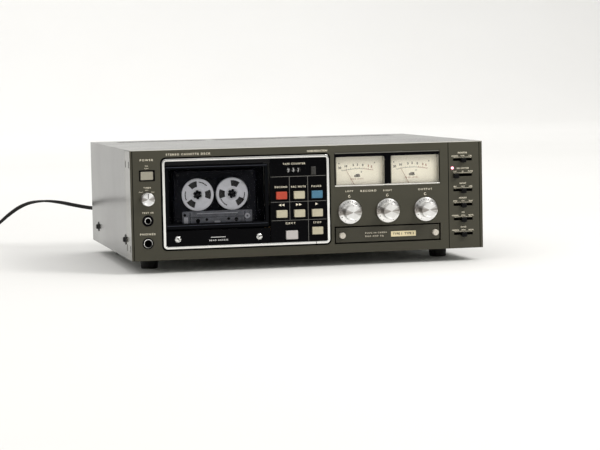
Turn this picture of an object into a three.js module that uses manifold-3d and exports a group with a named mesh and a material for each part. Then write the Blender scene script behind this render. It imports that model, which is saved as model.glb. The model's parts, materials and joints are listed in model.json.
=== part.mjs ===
// A full-width front-loading stereo cassette deck, as an assembly of separate pieces.
// Millimetres, +Z up. The pieces are drawn in the casing's frame: x from the casing's left side,
// y back from the face of the front panel, z up from the underside of the casing.
import * as THREE from "three";
import { mergeVertices } from "three/addons/utils/BufferGeometryUtils.js";
import Module from "manifold-3d";

const wasm = await Module();
wasm.setup();

// ---------------------------------------------------------------- driving dimensions

const WIDTH = 440;
const HEIGHT = 132.5;
const DEPTH = 350;
const FOOT_HEIGHT = 16;
const KNOB_REACH = 19.5; // level knobs in front of the panel
const JACK_REACH = 12; // line jacks behind the rear panel
const PANEL = 3; // thickness of the front panel
const SHEET = 1.2; // thickness of the folded sheet-metal parts
const GAP = 0.3; // between touching pieces
const CHEEK_DEPTH = 41; // how far the front panel's side cheeks run back
const COVER_TOP = HEIGHT - SHEET;

// The tape bay: a bright ring around the door, the head cover and the key panel.
const BAY = { x: [38.5, 244.2], z: [12.6, 121.2], band: 3.2, corner: 5 };
const DOOR = { x: [42.4, 168.4], top: 112.5, front: 1.3, thickness: 3.7 };
const HINGE = { y: 5, z: 38.5, radius: 3.7 };
const CASSETTE = { x: 105, width: 100.4, z: [41.4, 105.2], y: [11.5, 20.5], bulge: 1.5 };
const HUB = { z: 76.4, spacing: 42.5, bore: 5 };
const CAPSTAN = { x: 126, z: 49, radius: 1.2 };
const DECK_PLATE_Y = 26; // front of the plate that carries the mechanism

const SUPPLY_X = CASSETTE.x - HUB.spacing / 2;
const TAKEUP_X = CASSETTE.x + HUB.spacing / 2;

// Meters, level controls, the access cover and the slide switches, right of the bay.
const METER_OPENING = { x: [251.0, 385.4], z: [80.8, 122.7] };
const METER_WINDOW = { width: 62.2, z: [83.0, 117.2], centres: [284.0, 353.7] };
const DIAL_SHIFT = -2; // each meter's movement sits a little left of its window
const NEEDLE = { pivotZ: 74.5, length: 31, lean: 28.6 };
const LEVEL_KNOB = { z: 50.2, skirt: 14.8, cap: 10, xs: [269.3, 317.5, 365.9] };
const ACCESS = { x: [250.0, 385.4], z: [11.0, 32.6] };
const SWITCH = { x: 414.8, slot: 24.6, height: 3.2, zs: [109.9, 90.7, 72.1, 54.1, 36.2, 18.0] };
const LEFT_SWITCH = 1; // the second switch from the top stands at its left end
const LEFT_SWITCH_X = 405.5;

// Keys: a name, a centre and a size for each.
const KEY = { width: 13.5, height: 9.2, proud: 2.5, face: 1.0 };
const KEY_COLUMNS = [184.4, 206.5, 228.7];
const KEY_ROWS = [72.9, 50.5, 28.7];
const EJECT = { x: 196.4, z: 24.6, width: 14.8, height: 10.7 };
const COUNTER = { x: 200.5, z: 103.2, pitch: 6.2, wheel: 5.6, radius: 4.6 };

// Feet, and the mains lead, whose heights are above the surface that the feet stand on.
const FOOT = { radius: 11.5, x: [33, 405], y: [78, 293] };
const CORD = { diameter: 5.2, exit: [100, 378.3, 50], relief: 28 };
const COIL = { x: -190, y: 485, inner: 18.4, outer: 39.6, height: 10.6 };
const PLUG = { x: -226.8, y: 442, width: 22, height: 15, length: 36 };

// ---------------------------------------------------------------- finishes

const finish = (color, roughness, metalness) =>
  new THREE.MeshStandardMaterial({ color, roughness, metalness });
const warmGrey = finish(0x4e4a43, 0.55, 0.3);
const coverGrey = finish(0x4a4843, 0.25, 0.1);
const brightTrim = finish(0xe8e8e6, 0.2, 0.9);
const spunSilver = finish(0xcfcfcd, 0.25, 0.95);
const gloss = finish(0x101012, 0.12, 0.0);
const black = finish(0x1a1a1b, 0.5, 0.0);
const rubber = finish(0x161616, 0.8, 0.0);
const cream = finish(0xbfb79a, 0.5, 0.0);
const recordRed = finish(0xae5b42, 0.5, 0.0);
const pauseBlue = finish(0x66828c, 0.5, 0.0);
const keySilver = finish(0xb4b0a7, 0.4, 0.3);
const taupe = finish(0xa09786, 0.5, 0.1);
const dialCream = finish(0xdcd8cd, 0.7, 0.0);
const smoked = new THREE.MeshStandardMaterial({
  color: 0x2a2a2c,
  roughness: 0.05,
  transparent: true,
  opacity: 0.35,
});
const zinc = finish(0xa8aaa6, 0.45, 0.8);
const steel = finish(0x8d8f90, 0.35, 0.9);
const board = finish(0x8a7a45, 0.6, 0.0);
const lamination = finish(0x3a3a3c, 0.6, 0.5);

// ---------------------------------------------------------------- solids

// A closed geometry as a solid that can be joined and cut.
function solid(geometry) {
  const bare = geometry.clone();
  bare.deleteAttribute("normal");
  bare.deleteAttribute("uv");
  const merged = mergeVertices(bare, 1e-4);
  const mesh = new wasm.Mesh({
    numProp: 3,
    vertProperties: merged.attributes.position.array,
    triVerts: new Uint32Array(merged.index.array),
  });
  return new wasm.Manifold(mesh);
}

const join = (first, ...rest) => rest.reduce((whole, part) => whole.add(part), first);
const cut = (first, ...rest) => rest.reduce((whole, part) => whole.subtract(part), first);

function block([x0, x1], [y0, y1], [z0, z1]) {
  const geometry = new THREE.BoxGeometry(x1 - x0, y1 - y0, z1 - z0);
  return solid(geometry.translate((x0 + x1) / 2, (y0 + y1) / 2, (z0 + z1) / 2));
}

// A round bar along y; a second radius tapers it towards its back end.
function barY(x, z, radius, [y0, y1], sides = 24, back = radius) {
  const geometry = new THREE.CylinderGeometry(back, radius, y1 - y0, sides);
  return solid(geometry.translate(x, (y0 + y1) / 2, z));
}

function barX(y, z, radius, [x0, x1], sides = 20) {
  const geometry = new THREE.CylinderGeometry(radius, radius, x1 - x0, sides);
  return solid(geometry.rotateZ(-Math.PI / 2).translate((x0 + x1) / 2, y, z));
}

function barZ(x, y, radius, [z0, z1], sides = 24, top = radius) {
  const geometry = new THREE.CylinderGeometry(top, radius, z1 - z0, sides);
  return solid(geometry.rotateX(Math.PI / 2).translate(x, y, (z0 + z1) / 2));
}

// A solid of revolution about y, from [radius, y] steps whose ends lie on the axis.
function turned(profile, sides = 32) {
  const points = profile.map(([radius, y]) => new THREE.Vector2(radius, y));
  return solid(new THREE.LatheGeometry(points, sides));
}

function roundedOutline([x0, x1], [z0, z1], radius) {
  const outline = new THREE.Shape();
  outline.moveTo(x0 + radius, z0);
  outline.absarc(x1 - radius, z0 + radius, radius, -Math.PI / 2, 0, false);
  outline.absarc(x1 - radius, z1 - radius, radius, 0, Math.PI / 2, false);
  outline.absarc(x0 + radius, z1 - radius, radius, Math.PI / 2, Math.PI, false);
  outline.absarc(x0 + radius, z0 + radius, radius, Math.PI, Math.PI * 1.5, false);
  return outline;
}

// An outline in the x-z plane, extruded along y.
function slab(outline, [y0, y1], curveSegments = 3) {
  const settings = { depth: y1 - y0, bevelEnabled: false, curveSegments };
  const geometry = new THREE.ExtrudeGeometry(outline, settings);
  return solid(geometry.rotateX(Math.PI / 2).translate(0, y1, 0));
}

function roundedSlab(x, z, radius, y, curveSegments = 3) {
  return slab(roundedOutline(x, z, radius), y, curveSegments);
}

// A push key about the centre of its front face, with a chamfered front.
function keyCap(width, height, depth) {
  const chamfer = 0.6;
  const wide = width / 2;
  const high = height / 2;
  const outline = roundedOutline([chamfer - wide, wide - chamfer], [chamfer - high, high - chamfer], 0.5);
  const settings = {
    depth: depth - 2 * chamfer,
    bevelThickness: chamfer,
    bevelSize: chamfer,
    bevelSegments: 1,
    curveSegments: 1,
  };
  const geometry = new THREE.ExtrudeGeometry(outline, settings);
  return solid(geometry.rotateX(Math.PI / 2).translate(0, depth - chamfer, 0));
}

const grow = ([low, high], by) => [low - by, high + by];
const around = (centre, half) => [centre - half, centre + half];

// ---------------------------------------------------------------- the assembly

const deck = new THREE.Group();
const casing = new THREE.Group();
casing.position.set(-WIDTH / 2, -(DEPTH + JACK_REACH - KNOB_REACH) / 2, FOOT_HEIGHT);
deck.add(casing);

function place(name, shape, material, x = 0, y = 0, z = 0) {
  const { vertProperties, triVerts } = shape.getMesh();
  const geometry = new THREE.BufferGeometry();
  geometry.setAttribute("position", new THREE.BufferAttribute(vertProperties, 3));
  geometry.setIndex(new THREE.BufferAttribute(triVerts, 1));
  geometry.computeVertexNormals();
  const mesh = new THREE.Mesh(geometry, material);
  mesh.name = name;
  mesh.position.set(x, y, z);
  casing.add(mesh);
  return mesh;
}

// ---------------------------------------------------------------- front panel

const POWER = { x: 20, z: 101.8, width: 15, height: 9.8 };
const TIMER = { x: 19.9, z: 73.9, radius: 7.8, reach: 10 };
const TEST_JACK = { x: 20.2, z: 47.9, bore: 2.4 };
const PHONES_JACK = { x: 19.8, z: 20.8, bore: 3.3 };
const JACK_FLANGE = 6.6;
const LAMP = { x: 401.4, z: 99.7, radius: 1.7 };
const SEAMS = [2.8, 396.2, 436.3]; // fine upright grooves in the panel's face

function frontPanel() {
  const face = block([0, WIDTH], [0, PANEL], [0, HEIGHT]);
  const left = block([0, 1.5], [PANEL - 0.5, CHEEK_DEPTH], [0, COVER_TOP - GAP]);
  const right = left.translate([WIDTH - 1.5, 0, 0]);
  const through = [-1, PANEL + 1];
  const openings = [
    roundedSlab(grow(BAY.x, 1.9), grow(BAY.z, 1.9), 6.5, through),
    block(METER_OPENING.x, through, METER_OPENING.z),
    block(ACCESS.x, through, ACCESS.z),
    block(around(POWER.x, POWER.width / 2 + GAP), through, around(POWER.z, POWER.height / 2 + GAP)),
    barY(TIMER.x, TIMER.z, 3.4, through),
    barY(TEST_JACK.x, TEST_JACK.z, JACK_FLANGE + GAP, through),
    barY(PHONES_JACK.x, PHONES_JACK.z, JACK_FLANGE + GAP, through),
    barY(LAMP.x, LAMP.z, LAMP.radius, through, 12),
    ...LEVEL_KNOB.xs.map((x) => barY(x, LEVEL_KNOB.z, 4.4, through, 16)),
    ...SWITCH.zs.map((z) => block(around(SWITCH.x, SWITCH.slot / 2), through, around(z, SWITCH.height / 2))),
    ...SEAMS.map((x) => block(around(x, 0.3), [-1, 0.4], [-1, HEIGHT + 1])),
  ];
  // Upright cooling slots in the cheeks, two at the top and two at the bottom of each.
  for (const y of [9, 34]) {
    openings.push(block([-1, WIDTH + 1], around(y, 1.9), [111, 119]));
    openings.push(block([-1, WIDTH + 1], around(y, 1.9), [10, 18]));
  }
  return cut(join(face, left, right), ...openings);
}

place("front_panel", frontPanel(), warmGrey);

// ---------------------------------------------------------------- casing

const VENT = { y: 303, length: 40, width: 2, pitch: 4.2, count: 28, groups: [89.1, 220, 350.9] };

function topCover() {
  const roof = block([0, WIDTH], [PANEL + GAP, DEPTH], [COVER_TOP, HEIGHT]);
  const left = block([0, SHEET], [CHEEK_DEPTH + GAP, DEPTH], [0, COVER_TOP + 0.5]);
  const right = left.translate([WIDTH - SHEET, 0, 0]);
  const slots = [];
  for (const middle of VENT.groups) {
    for (let i = 0; i < VENT.count; i++) {
      const x = middle + (i - (VENT.count - 1) / 2) * VENT.pitch;
      slots.push(block(around(x, VENT.width / 2), around(VENT.y, VENT.length / 2), [COVER_TOP - 1, HEIGHT + 1]));
    }
  }
  return cut(join(roof, left, right), ...slots);
}

function chassisPan() {
  const x = [1.9, WIDTH - 1.9];
  const floor = block(x, [3.4, 348.4], [0, SHEET]);
  const front = block(x, [3.4, 3.4 + SHEET], [0, 7]);
  const back = block(x, [348.4 - SHEET, 348.4], [0, 25]);
  const left = block([x[0], x[0] + SHEET], [45, 345], [0, 20]);
  const right = block([x[1] - SHEET, x[1]], [45, 345], [0, 20]);
  return join(floor, front, back, left, right);
}

const LINE_JACK = { xs: [352, 372], zs: [64, 84], radius: 4.2, bore: 1.8 };
const RELIEF = { x: CORD.exit[0], z: CORD.exit[2] - FOOT_HEIGHT, hole: 6.4 };

function rearPanel() {
  const plate = block([1.9, WIDTH - 1.9], [DEPTH - SHEET, DEPTH], [1.6, COVER_TOP - GAP]);
  const through = [DEPTH - 3, DEPTH + 1];
  const holes = [barY(RELIEF.x, RELIEF.z, RELIEF.hole, through)];
  for (const x of LINE_JACK.xs) {
    for (const z of LINE_JACK.zs) {
      holes.push(barY(x, z, LINE_JACK.radius + 0.6, through, 14));
    }
  }
  return cut(plate, ...holes);
}

function lineJackBlock() {
  const { xs, zs, radius, bore } = LINE_JACK;
  const inside = DEPTH - SHEET - GAP;
  let whole = block([xs[0] - 9, xs[1] + 9], [inside - 8, inside], [zs[0] - 9, zs[1] + 9]);
  for (const x of xs) {
    for (const z of zs) {
      whole = whole.add(barY(x, z, radius, [inside - 1, DEPTH + JACK_REACH], 14));
      whole = whole.subtract(barY(x, z, bore, [DEPTH + 2, DEPTH + JACK_REACH + 1], 8));
    }
  }
  return whole;
}

place("top_cover", topCover(), coverGrey);
place("chassis_pan", chassisPan(), zinc);
place("rear_panel", rearPanel(), zinc);
place("line_jack_block", lineJackBlock(), black);

function foot() {
  const body = barZ(0, 0, FOOT.radius - 1, [-FOOT_HEIGHT, -GAP], 20, FOOT.radius);
  return body.subtract(barZ(0, 0, 3, [-FOOT_HEIGHT - 1, -FOOT_HEIGHT + 5], 12));
}

for (const [side, x] of [["left", FOOT.x[0]], ["right", FOOT.x[1]]]) {
  for (const [end, y] of [["front", FOOT.y[0]], ["rear", FOOT.y[1]]]) {
    place(`foot_${end}_${side}`, foot(), rubber, x, y, 0);
  }
}

// ---------------------------------------------------------------- tape bay

const bayInside = { x: grow(BAY.x, -BAY.band), z: grow(BAY.z, -BAY.band) };

function bayFrame() {
  const ring = roundedSlab(BAY.x, BAY.z, BAY.corner, [-1.2, 4.8]);
  const flange = block(grow(BAY.x, 4), [PANEL + GAP, 4.8], grow(BAY.z, 4));
  const hole = roundedSlab(bayInside.x, bayInside.z, 2, [-2, 6], 3);
  return cut(join(ring, flange), hole);
}

const keyPanelX = [170.6, bayInside.x[1] - GAP];
const PLATE = [KEY.face, KEY.face + 2]; // front and back of the plates inside the bay

function keyPanel() {
  const z = [bayInside.z[0] + GAP, bayInside.z[1] - GAP];
  const main = roundedSlab(keyPanelX, z, 1.5, PLATE, 2);
  const strip = block([bayInside.x[0] + GAP + 0.7, keyPanelX[0] + 2], PLATE, [DOOR.top + 1, z[1] - 0.4]);
  const through = [PLATE[0] - 1, PLATE[1] + 1];
  const opening = (x, z0, width, height) =>
    block(around(x, width / 2 + 0.35), through, around(z0, height / 2 + 0.35));
  const holes = [
    opening(EJECT.x, EJECT.z, EJECT.width, EJECT.height),
    opening(KEY_COLUMNS[2], KEY_ROWS[2], KEY.width, KEY.height),
    opening(224.8, 102, 6, 9.9),
    block(around(COUNTER.x, 9.2), through, around(COUNTER.z, 2.8)),
  ];
  for (const x of KEY_COLUMNS) {
    holes.push(opening(x, KEY_ROWS[0], KEY.width, KEY.height));
    holes.push(opening(x, KEY_ROWS[1], KEY.width, KEY.height));
  }
  return cut(join(main, strip), ...holes);
}

function headCover() {
  return roundedSlab([42.2, 169.9], [bayInside.z[0] + GAP, 34.2], 1.8, [0.9, 2.9], 2);
}

place("bay_frame", bayFrame(), brightTrim);
place("key_panel", keyPanel(), gloss);
place("head_cover", headCover(), gloss);

const keys = [
  ["record_key", 0, 0, recordRed],
  ["mute_key", 1, 0, cream],
  ["pause_key", 2, 0, pauseBlue],
  ["rewind_key", 0, 1, cream],
  ["fast_forward_key", 1, 1, cream],
  ["play_key", 2, 1, cream],
  ["stop_key", 2, 2, cream],
];
const keyFront = KEY.face - KEY.proud;
for (const [name, column, row, material] of keys) {
  const cap = keyCap(KEY.width, KEY.height, 7);
  place(name, cap, material, KEY_COLUMNS[column], keyFront, KEY_ROWS[row]);
}
place("eject_key", keyCap(EJECT.width, EJECT.height, 7), keySilver, EJECT.x, keyFront, EJECT.z);
place("counter_reset_button", keyCap(6, 9.9, 7), black, 224.8, -1, 102);

// Counter wheels turn about an axle along x behind their window.
["hundreds", "tens", "ones"].forEach((digit, i) => {
  const wheel = barX(0, 0, COUNTER.radius, around(0, COUNTER.wheel / 2), 20);
  const bored = wheel.subtract(barX(0, 0, 1, around(0, COUNTER.wheel), 8));
  const x = COUNTER.x + (i - 1) * COUNTER.pitch;
  place(`counter_wheel_${digit}`, bored, black, x, PLATE[1] + GAP + COUNTER.radius, COUNTER.z);
});

// ---------------------------------------------------------------- door and cassette

function doorFrame() {
  const back = DOOR.front + DOOR.thickness;
  const plate = block(DOOR.x, [DOOR.front, back], [HINGE.z, DOOR.top]);
  const roll = barX(HINGE.y, HINGE.z, HINGE.radius, DOOR.x);
  const window = block([46.4, 164.4], [0, back + 1], [42.9, 108.5]);
  let whole = join(plate, roll).subtract(window);
  // Ledges and guides that carry the cassette by its two lower corners.
  for (const [ledge, guide] of [[[52.5, 66], [52.5, 54.4]], [[144, 157.5], [155.6, 157.5]]]) {
    whole = whole.add(block(ledge, [HINGE.y, 22], [38.9, 40.9]));
    whole = whole.add(block(guide, [8, 21.5], [38.9, 72]));
  }
  return whole;
}

function doorWindow() {
  return block([46.8, 164], [1.9, 4.2], [43.3, 108.1]);
}

// A round-ended pocket over both hubs.
function twinPocket(radius, y) {
  const middle = block([SUPPLY_X, TAKEUP_X], y, around(HUB.z, radius * Math.cos(Math.PI / 32)));
  return join(middle, barY(SUPPLY_X, HUB.z, radius, y, 32), barY(TAKEUP_X, HUB.z, radius, y, 32));
}

function cassetteShell() {
  const [front, back] = CASSETTE.y;
  const body = roundedSlab(around(CASSETTE.x, CASSETTE.width / 2), CASSETTE.z, 2, CASSETTE.y, 3);
  const bulge = new THREE.Shape();
  bulge.moveTo(CASSETTE.x - 40, CASSETTE.z[0]);
  bulge.lineTo(CASSETTE.x + 40, CASSETTE.z[0]);
  bulge.lineTo(CASSETTE.x + 37, 55.5);
  bulge.lineTo(CASSETTE.x - 37, 55.5);
  const whole = body.add(slab(bulge, grow(CASSETTE.y, CASSETTE.bulge)));
  return cut(
    whole,
    twinPocket(20.4, [front - 3, back - 1.5]),
    barY(SUPPLY_X, HUB.z, 5.8, [front, back + 1]),
    barY(TAKEUP_X, HUB.z, 5.8, [front, back + 1]),
    block([70, 140], [12, 20], [CASSETTE.z[0] - 1, 53]), // the mouth that the heads enter
    block(around(CAPSTAN.x, 3), [19.5, back + 3], [CASSETTE.z[0] - 1, 53]),
  );
}

// An open flanged reel about its own axis, front flange with three windows.
function reel(turn) {
  const rim = 19.6;
  let whole = turned([[0, 0], [rim, 0], [rim, 0.8], [13.5, 0.8], [13.5, 4], [rim, 4], [rim, 4.8], [0, 4.8]]);
  whole = whole.subtract(barY(0, 0, HUB.bore, [-1, 6], 16));
  const sector = new THREE.Shape();
  sector.absarc(0, 0, 17, THREE.MathUtils.degToRad(-27), THREE.MathUtils.degToRad(27), false);
  sector.absarc(0, 0, 9.2, THREE.MathUtils.degToRad(20), THREE.MathUtils.degToRad(-20), true);
  for (let i = 0; i < 3; i++) {
    whole = whole.subtract(slab(sector, [-1, 0.8], 4).rotate([0, turn + i * 120, 0]));
  }
  return whole;
}

place("door_frame", doorFrame(), black);
place("door_window", doorWindow(), smoked);
place("cassette_shell", cassetteShell(), smoked);
place("supply_reel", reel(0), spunSilver, SUPPLY_X, 13.6, HUB.z);
place("takeup_reel", reel(45), spunSilver, TAKEUP_X, 13.6, HUB.z);

// ---------------------------------------------------------------- mechanism

function spindle() {
  return turned([[0, 14.5], [2.8, 14.5], [3.9, 20], [3.9, 22.6], [8, 22.6], [8, 24.4], [2, 24.4], [2, 31], [0, 31]], 20);
}

function capstan() {
  const { radius } = CAPSTAN;
  return turned([[0, 13.5], [radius, 13.5], [radius, 30], [24, 30], [24, 38], [radius, 38], [radius, 41], [0, 41]], 24);
}

function mechanismPlate() {
  const plate = block([46, 168], [DECK_PLATE_Y, DECK_PLATE_Y + 2], [1.6, 112]);
  const shelf = block([46, 168], [DECK_PLATE_Y, DECK_PLATE_Y + 20], [1.6, 3.6]);
  const through = [DECK_PLATE_Y - 1, DECK_PLATE_Y + 3];
  return cut(
    join(plate, shelf),
    barY(SUPPLY_X, HUB.z, 2.4, through, 16),
    barY(TAKEUP_X, HUB.z, 2.4, through, 16),
    barY(CAPSTAN.x, CAPSTAN.z, 1.7, through, 16),
  );
}

const PINCH = { z: 35, radius: 5.5, pin: 0.9 };

function headCarriage() {
  const y = [22.8, 24.8];
  const plate = block([78, 140], y, [18, 33]);
  const ear = block(around(CAPSTAN.x, 5), y, [32, 38]);
  const pin = barY(CAPSTAN.x, PINCH.z, PINCH.pin, [13.5, 23.5], 12);
  const arm = block(around(CASSETTE.x, 8), [13.5, 23], [26, 33]);
  const head = block(around(CASSETTE.x, 6), [13.5, 18.5], [32, 40.8]);
  return join(plate, ear, pin, arm, head);
}

function pinchRoller() {
  return barY(0, 0, PINCH.radius, [0, 4.4], 24).subtract(barY(0, 0, PINCH.pin + 0.35, [-1, 6], 12));
}

place("supply_spindle", spindle(), black, SUPPLY_X, 0, HUB.z);
place("takeup_spindle", spindle(), black, TAKEUP_X, 0, HUB.z);
place("capstan_flywheel", capstan(), steel, CAPSTAN.x, 0, CAPSTAN.z);
place("mechanism_plate", mechanismPlate(), zinc);
place("head_carriage", headCarriage(), steel);
place("pinch_roller", pinchRoller(), rubber, CAPSTAN.x, 13.9, PINCH.z);

// ---------------------------------------------------------------- electronics inside

function transformer() {
  const core = block([36, 104], [238, 290], [2, 60]);
  const windings = block([44, 96], [228, 300], [10, 52]);
  return core.add(windings);
}

function mainBoard() {
  let whole = block([190, 420], [120, 330], [12, 13.6]);
  for (const x of [196, 414]) {
    for (const y of [126, 324]) {
      whole = whole.add(barZ(x, y, 3, [1.6, 12.5], 8));
    }
  }
  // Smoothing capacitors, a heat sink and the rows of calibration coils.
  for (const x of [208, 232]) {
    whole = whole.add(barZ(x, 306, 9, [13, 42], 16));
  }
  whole = whole.add(block([256, 320], [312, 316], [13, 40]));
  for (let i = 0; i < 5; i++) {
    whole = whole.add(block(around(230 + i * 38, 6), around(160, 6), [13, 26]));
    whole = whole.add(barZ(248 + i * 36, 220, 5, [13, 28], 12));
  }
  return whole;
}

place("transformer", transformer(), lamination);
place("main_board", mainBoard(), board);

// ---------------------------------------------------------------- meters

// One moulding frames both meters; a clear pane is left across each window.
function meterBezel() {
  const frame = block(grow(METER_OPENING.x, -0.4), [0.4, 5.5], grow(METER_OPENING.z, -0.4));
  const { width, z, centres } = METER_WINDOW;
  const front = centres.map((x) => block(around(x, width / 2), [0, 1.4], z));
  const back = centres.map((x) => block(around(x, width / 2), [2.4, 6], z));
  return cut(frame, ...front, ...back);
}

// A meter's case with its dial face in front.
function meterUnit(x) {
  const dial = block(around(x, 33), [7.6, 9.6], [70, 120]);
  return dial.add(block(around(x, 29), [9, 30], [72, 118]));
}

// A needle about its pivot, leaning to the left of upright at rest.
function needle() {
  const pointer = block(around(0, 0.35), [0, 0.6], [-4, NEEDLE.length]);
  return pointer.add(barY(0, 0, 2.2, [0, 1], 16)).rotate([0, -NEEDLE.lean, 0]);
}

place("meter_bezel", meterBezel(), gloss);
["left", "right"].forEach((side, i) => {
  const x = METER_WINDOW.centres[i] + DIAL_SHIFT;
  place(`meter_unit_${side}`, meterUnit(x), dialCream);
  place(`meter_needle_${side}`, needle(), recordRed, x, 6.2, NEEDLE.pivotZ);
});

// ---------------------------------------------------------------- knobs, buttons and switches

function levelKnob() {
  const { skirt, cap } = LEVEL_KNOB;
  const front = -KNOB_REACH;
  return turned([
    [0, front],
    [cap - 0.8, front],
    [cap, front + 0.8],
    [cap, -4.2],
    [skirt - 0.6, -4],
    [skirt, -3.2],
    [skirt, -0.5],
    [4, -0.5],
    [4, 12],
    [0, 12],
  ], 28);
}

const levelNames = ["record_level_knob_left", "record_level_knob_right", "output_level_knob"];
LEVEL_KNOB.xs.forEach((x, i) => place(levelNames[i], levelKnob(), spunSilver, x, 0, LEVEL_KNOB.z));

function timerKnob() {
  const { radius, reach } = TIMER;
  return turned([[0, -reach], [radius - 1, -reach], [radius, 1 - reach], [radius, -0.5], [3, -0.5], [3, 12], [0, 12]], 20);
}

place("timer_knob", timerKnob(), spunSilver, TIMER.x, 0, TIMER.z);
place("power_button", keyCap(POWER.width, POWER.height, 8), taupe, POWER.x, -1.6, POWER.z);

function jack(bore, depth) {
  const flange = barY(0, 0, JACK_FLANGE, [-0.8, PANEL], 20);
  const barrel = block([-7, 7], [PANEL + GAP - 0.4, depth + 4], [-7, 7]);
  return join(flange, barrel.subtract(block([-8, 8], [0, PANEL + GAP], [-8, 8])), barY(0, 0, 5, [0, 6], 16))
    .subtract(barY(0, 0, bore, [-2, depth], 16));
}

place("test_jack", jack(TEST_JACK.bore, 12), black, TEST_JACK.x, 0, TEST_JACK.z);
place("phones_jack", jack(PHONES_JACK.bore, 26), black, PHONES_JACK.x, 0, PHONES_JACK.z);

function switchLever() {
  const grip = keyCap(6, 4.5, 5).translate([0, -5.5, 0]);
  return grip.add(block([-1.5, 1.5], [-1, 9], [-1.1, 1.1]));
}

const switchNames = [
  "noise_switch_lever",
  "bias_switch_lever",
  "input_switch_lever",
  "memory_switch_lever",
  "tape_switch_lever",
  "eq_switch_lever",
];
SWITCH.zs.forEach((z, i) => {
  const x = i === LEFT_SWITCH ? LEFT_SWITCH_X : SWITCH.x;
  place(switchNames[i], switchLever(), gloss, x, 0, z);
});

place("access_cover", roundedSlab(grow(ACCESS.x, -1.7), grow(ACCESS.z, -1.7), 0.8, [0.6, 2.4], 2), warmGrey);

// ---------------------------------------------------------------- mains lead

// Points of the lead from the strain relief to the coil: x, y, and height above the floor.
const CORD_ROUTE = [
  [100, 378.3, 50],
  [99.6, 388, 50],
  [97.5, 399, 50],
  [92, 411, 50.1],
  [83, 421.5, 50.3],
  [71, 430, 50.5],
  [54, 437, 50.9],
  [34, 443, 51.4],
  [12.7, 450, 52.4],
  [-9.9, 459, 56.5],
  [-29.9, 469, 60.7],
  [-49.9, 479, 62.6],
  [-69.5, 488, 60.4],
  [-83.9, 494, 54.5],
  [-97.8, 500, 44.9],
  [-111.8, 506, 32.5],
  [-124, 511, 20.5],
  [-136, 515.5, 10.5],
  [-149, 519.5, 4.2],
  [-163, 522, 2.8],
];

function mainsCord() {
  const points = CORD_ROUTE.map(([x, y, height]) => new THREE.Vector3(x, y, height - FOOT_HEIGHT));
  const path = new THREE.CatmullRomCurve3(points, false, "centripetal");
  const section = new THREE.Shape();
  section.absarc(0, 0, CORD.diameter / 2, 0, Math.PI * 2, false);
  const settings = { steps: 36, bevelEnabled: false, curveSegments: 4, extrudePath: path };
  return solid(new THREE.ExtrudeGeometry(section, settings));
}

function cordCoil() {
  const { inner, outer, height } = COIL;
  const low = 0.1;
  const corner = 1.5;
  const profile = [
    [inner, low + corner],
    [inner + corner, low],
    [outer - corner, low],
    [outer, low + corner],
    [outer, height - corner],
    [outer - corner, height],
    [inner + corner, height],
    [inner, height - corner],
    [inner, low + corner],
  ];
  const points = profile.map(([radius, z]) => new THREE.Vector2(radius, z));
  const ring = new THREE.LatheGeometry(points, 24).rotateX(Math.PI / 2);
  return solid(ring.translate(0, 0, -FOOT_HEIGHT));
}

function cordRelief() {
  const y0 = DEPTH;
  const profile = [
    [0, y0 - 5],
    [RELIEF.hole - 0.5, y0 - 5],
    [RELIEF.hole - 0.5, y0 + GAP],
    [8, y0 + GAP],
    [8, y0 + GAP + 2.4],
    [6, y0 + GAP + 2.6],
    [3.9, y0 + CORD.relief],
    [0, y0 + CORD.relief],
  ];
  return turned(profile, 16);
}

// A moulded two-pin plug that lies on its side, pins towards the front.
function plug() {
  const { width, height, length } = PLUG;
  const outline = new THREE.Shape();
  outline.moveTo(-width / 2, -length);
  outline.lineTo(width / 2, -length);
  outline.lineTo(width / 2, -length * 0.45);
  outline.lineTo(5, -6);
  outline.lineTo(4, 0);
  outline.lineTo(-4, 0);
  outline.lineTo(-5, -6);
  outline.lineTo(-width / 2, -length * 0.45);
  const settings = { depth: height, bevelEnabled: false };
  let whole = solid(new THREE.ExtrudeGeometry(outline, settings));
  for (const x of [-6.35, 6.35]) {
    whole = whole.add(block(around(x, 0.75), [-length - 17, -length + 1], around(height / 2, 3.2)));
  }
  return whole;
}

place("mains_cord", mainsCord(), rubber);
place("cord_coil", cordCoil(), rubber, COIL.x, COIL.y, 0);
place("cord_relief", cordRelief(), rubber, RELIEF.x, 0, RELIEF.z);
place("plug", plug(), rubber, PLUG.x, PLUG.y, 0.1 - FOOT_HEIGHT);

export default deck;
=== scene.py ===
"""The looks of a full-width front-loading cassette deck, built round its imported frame.

Pieces are drawn in the casing's millimetres, as the frame's design is: x from the casing's left side,
y back from the front panel's face, z up from the underside of the casing.
"""
import json
import math

import bmesh
import bpy
from mathutils import Matrix, Vector

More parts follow.
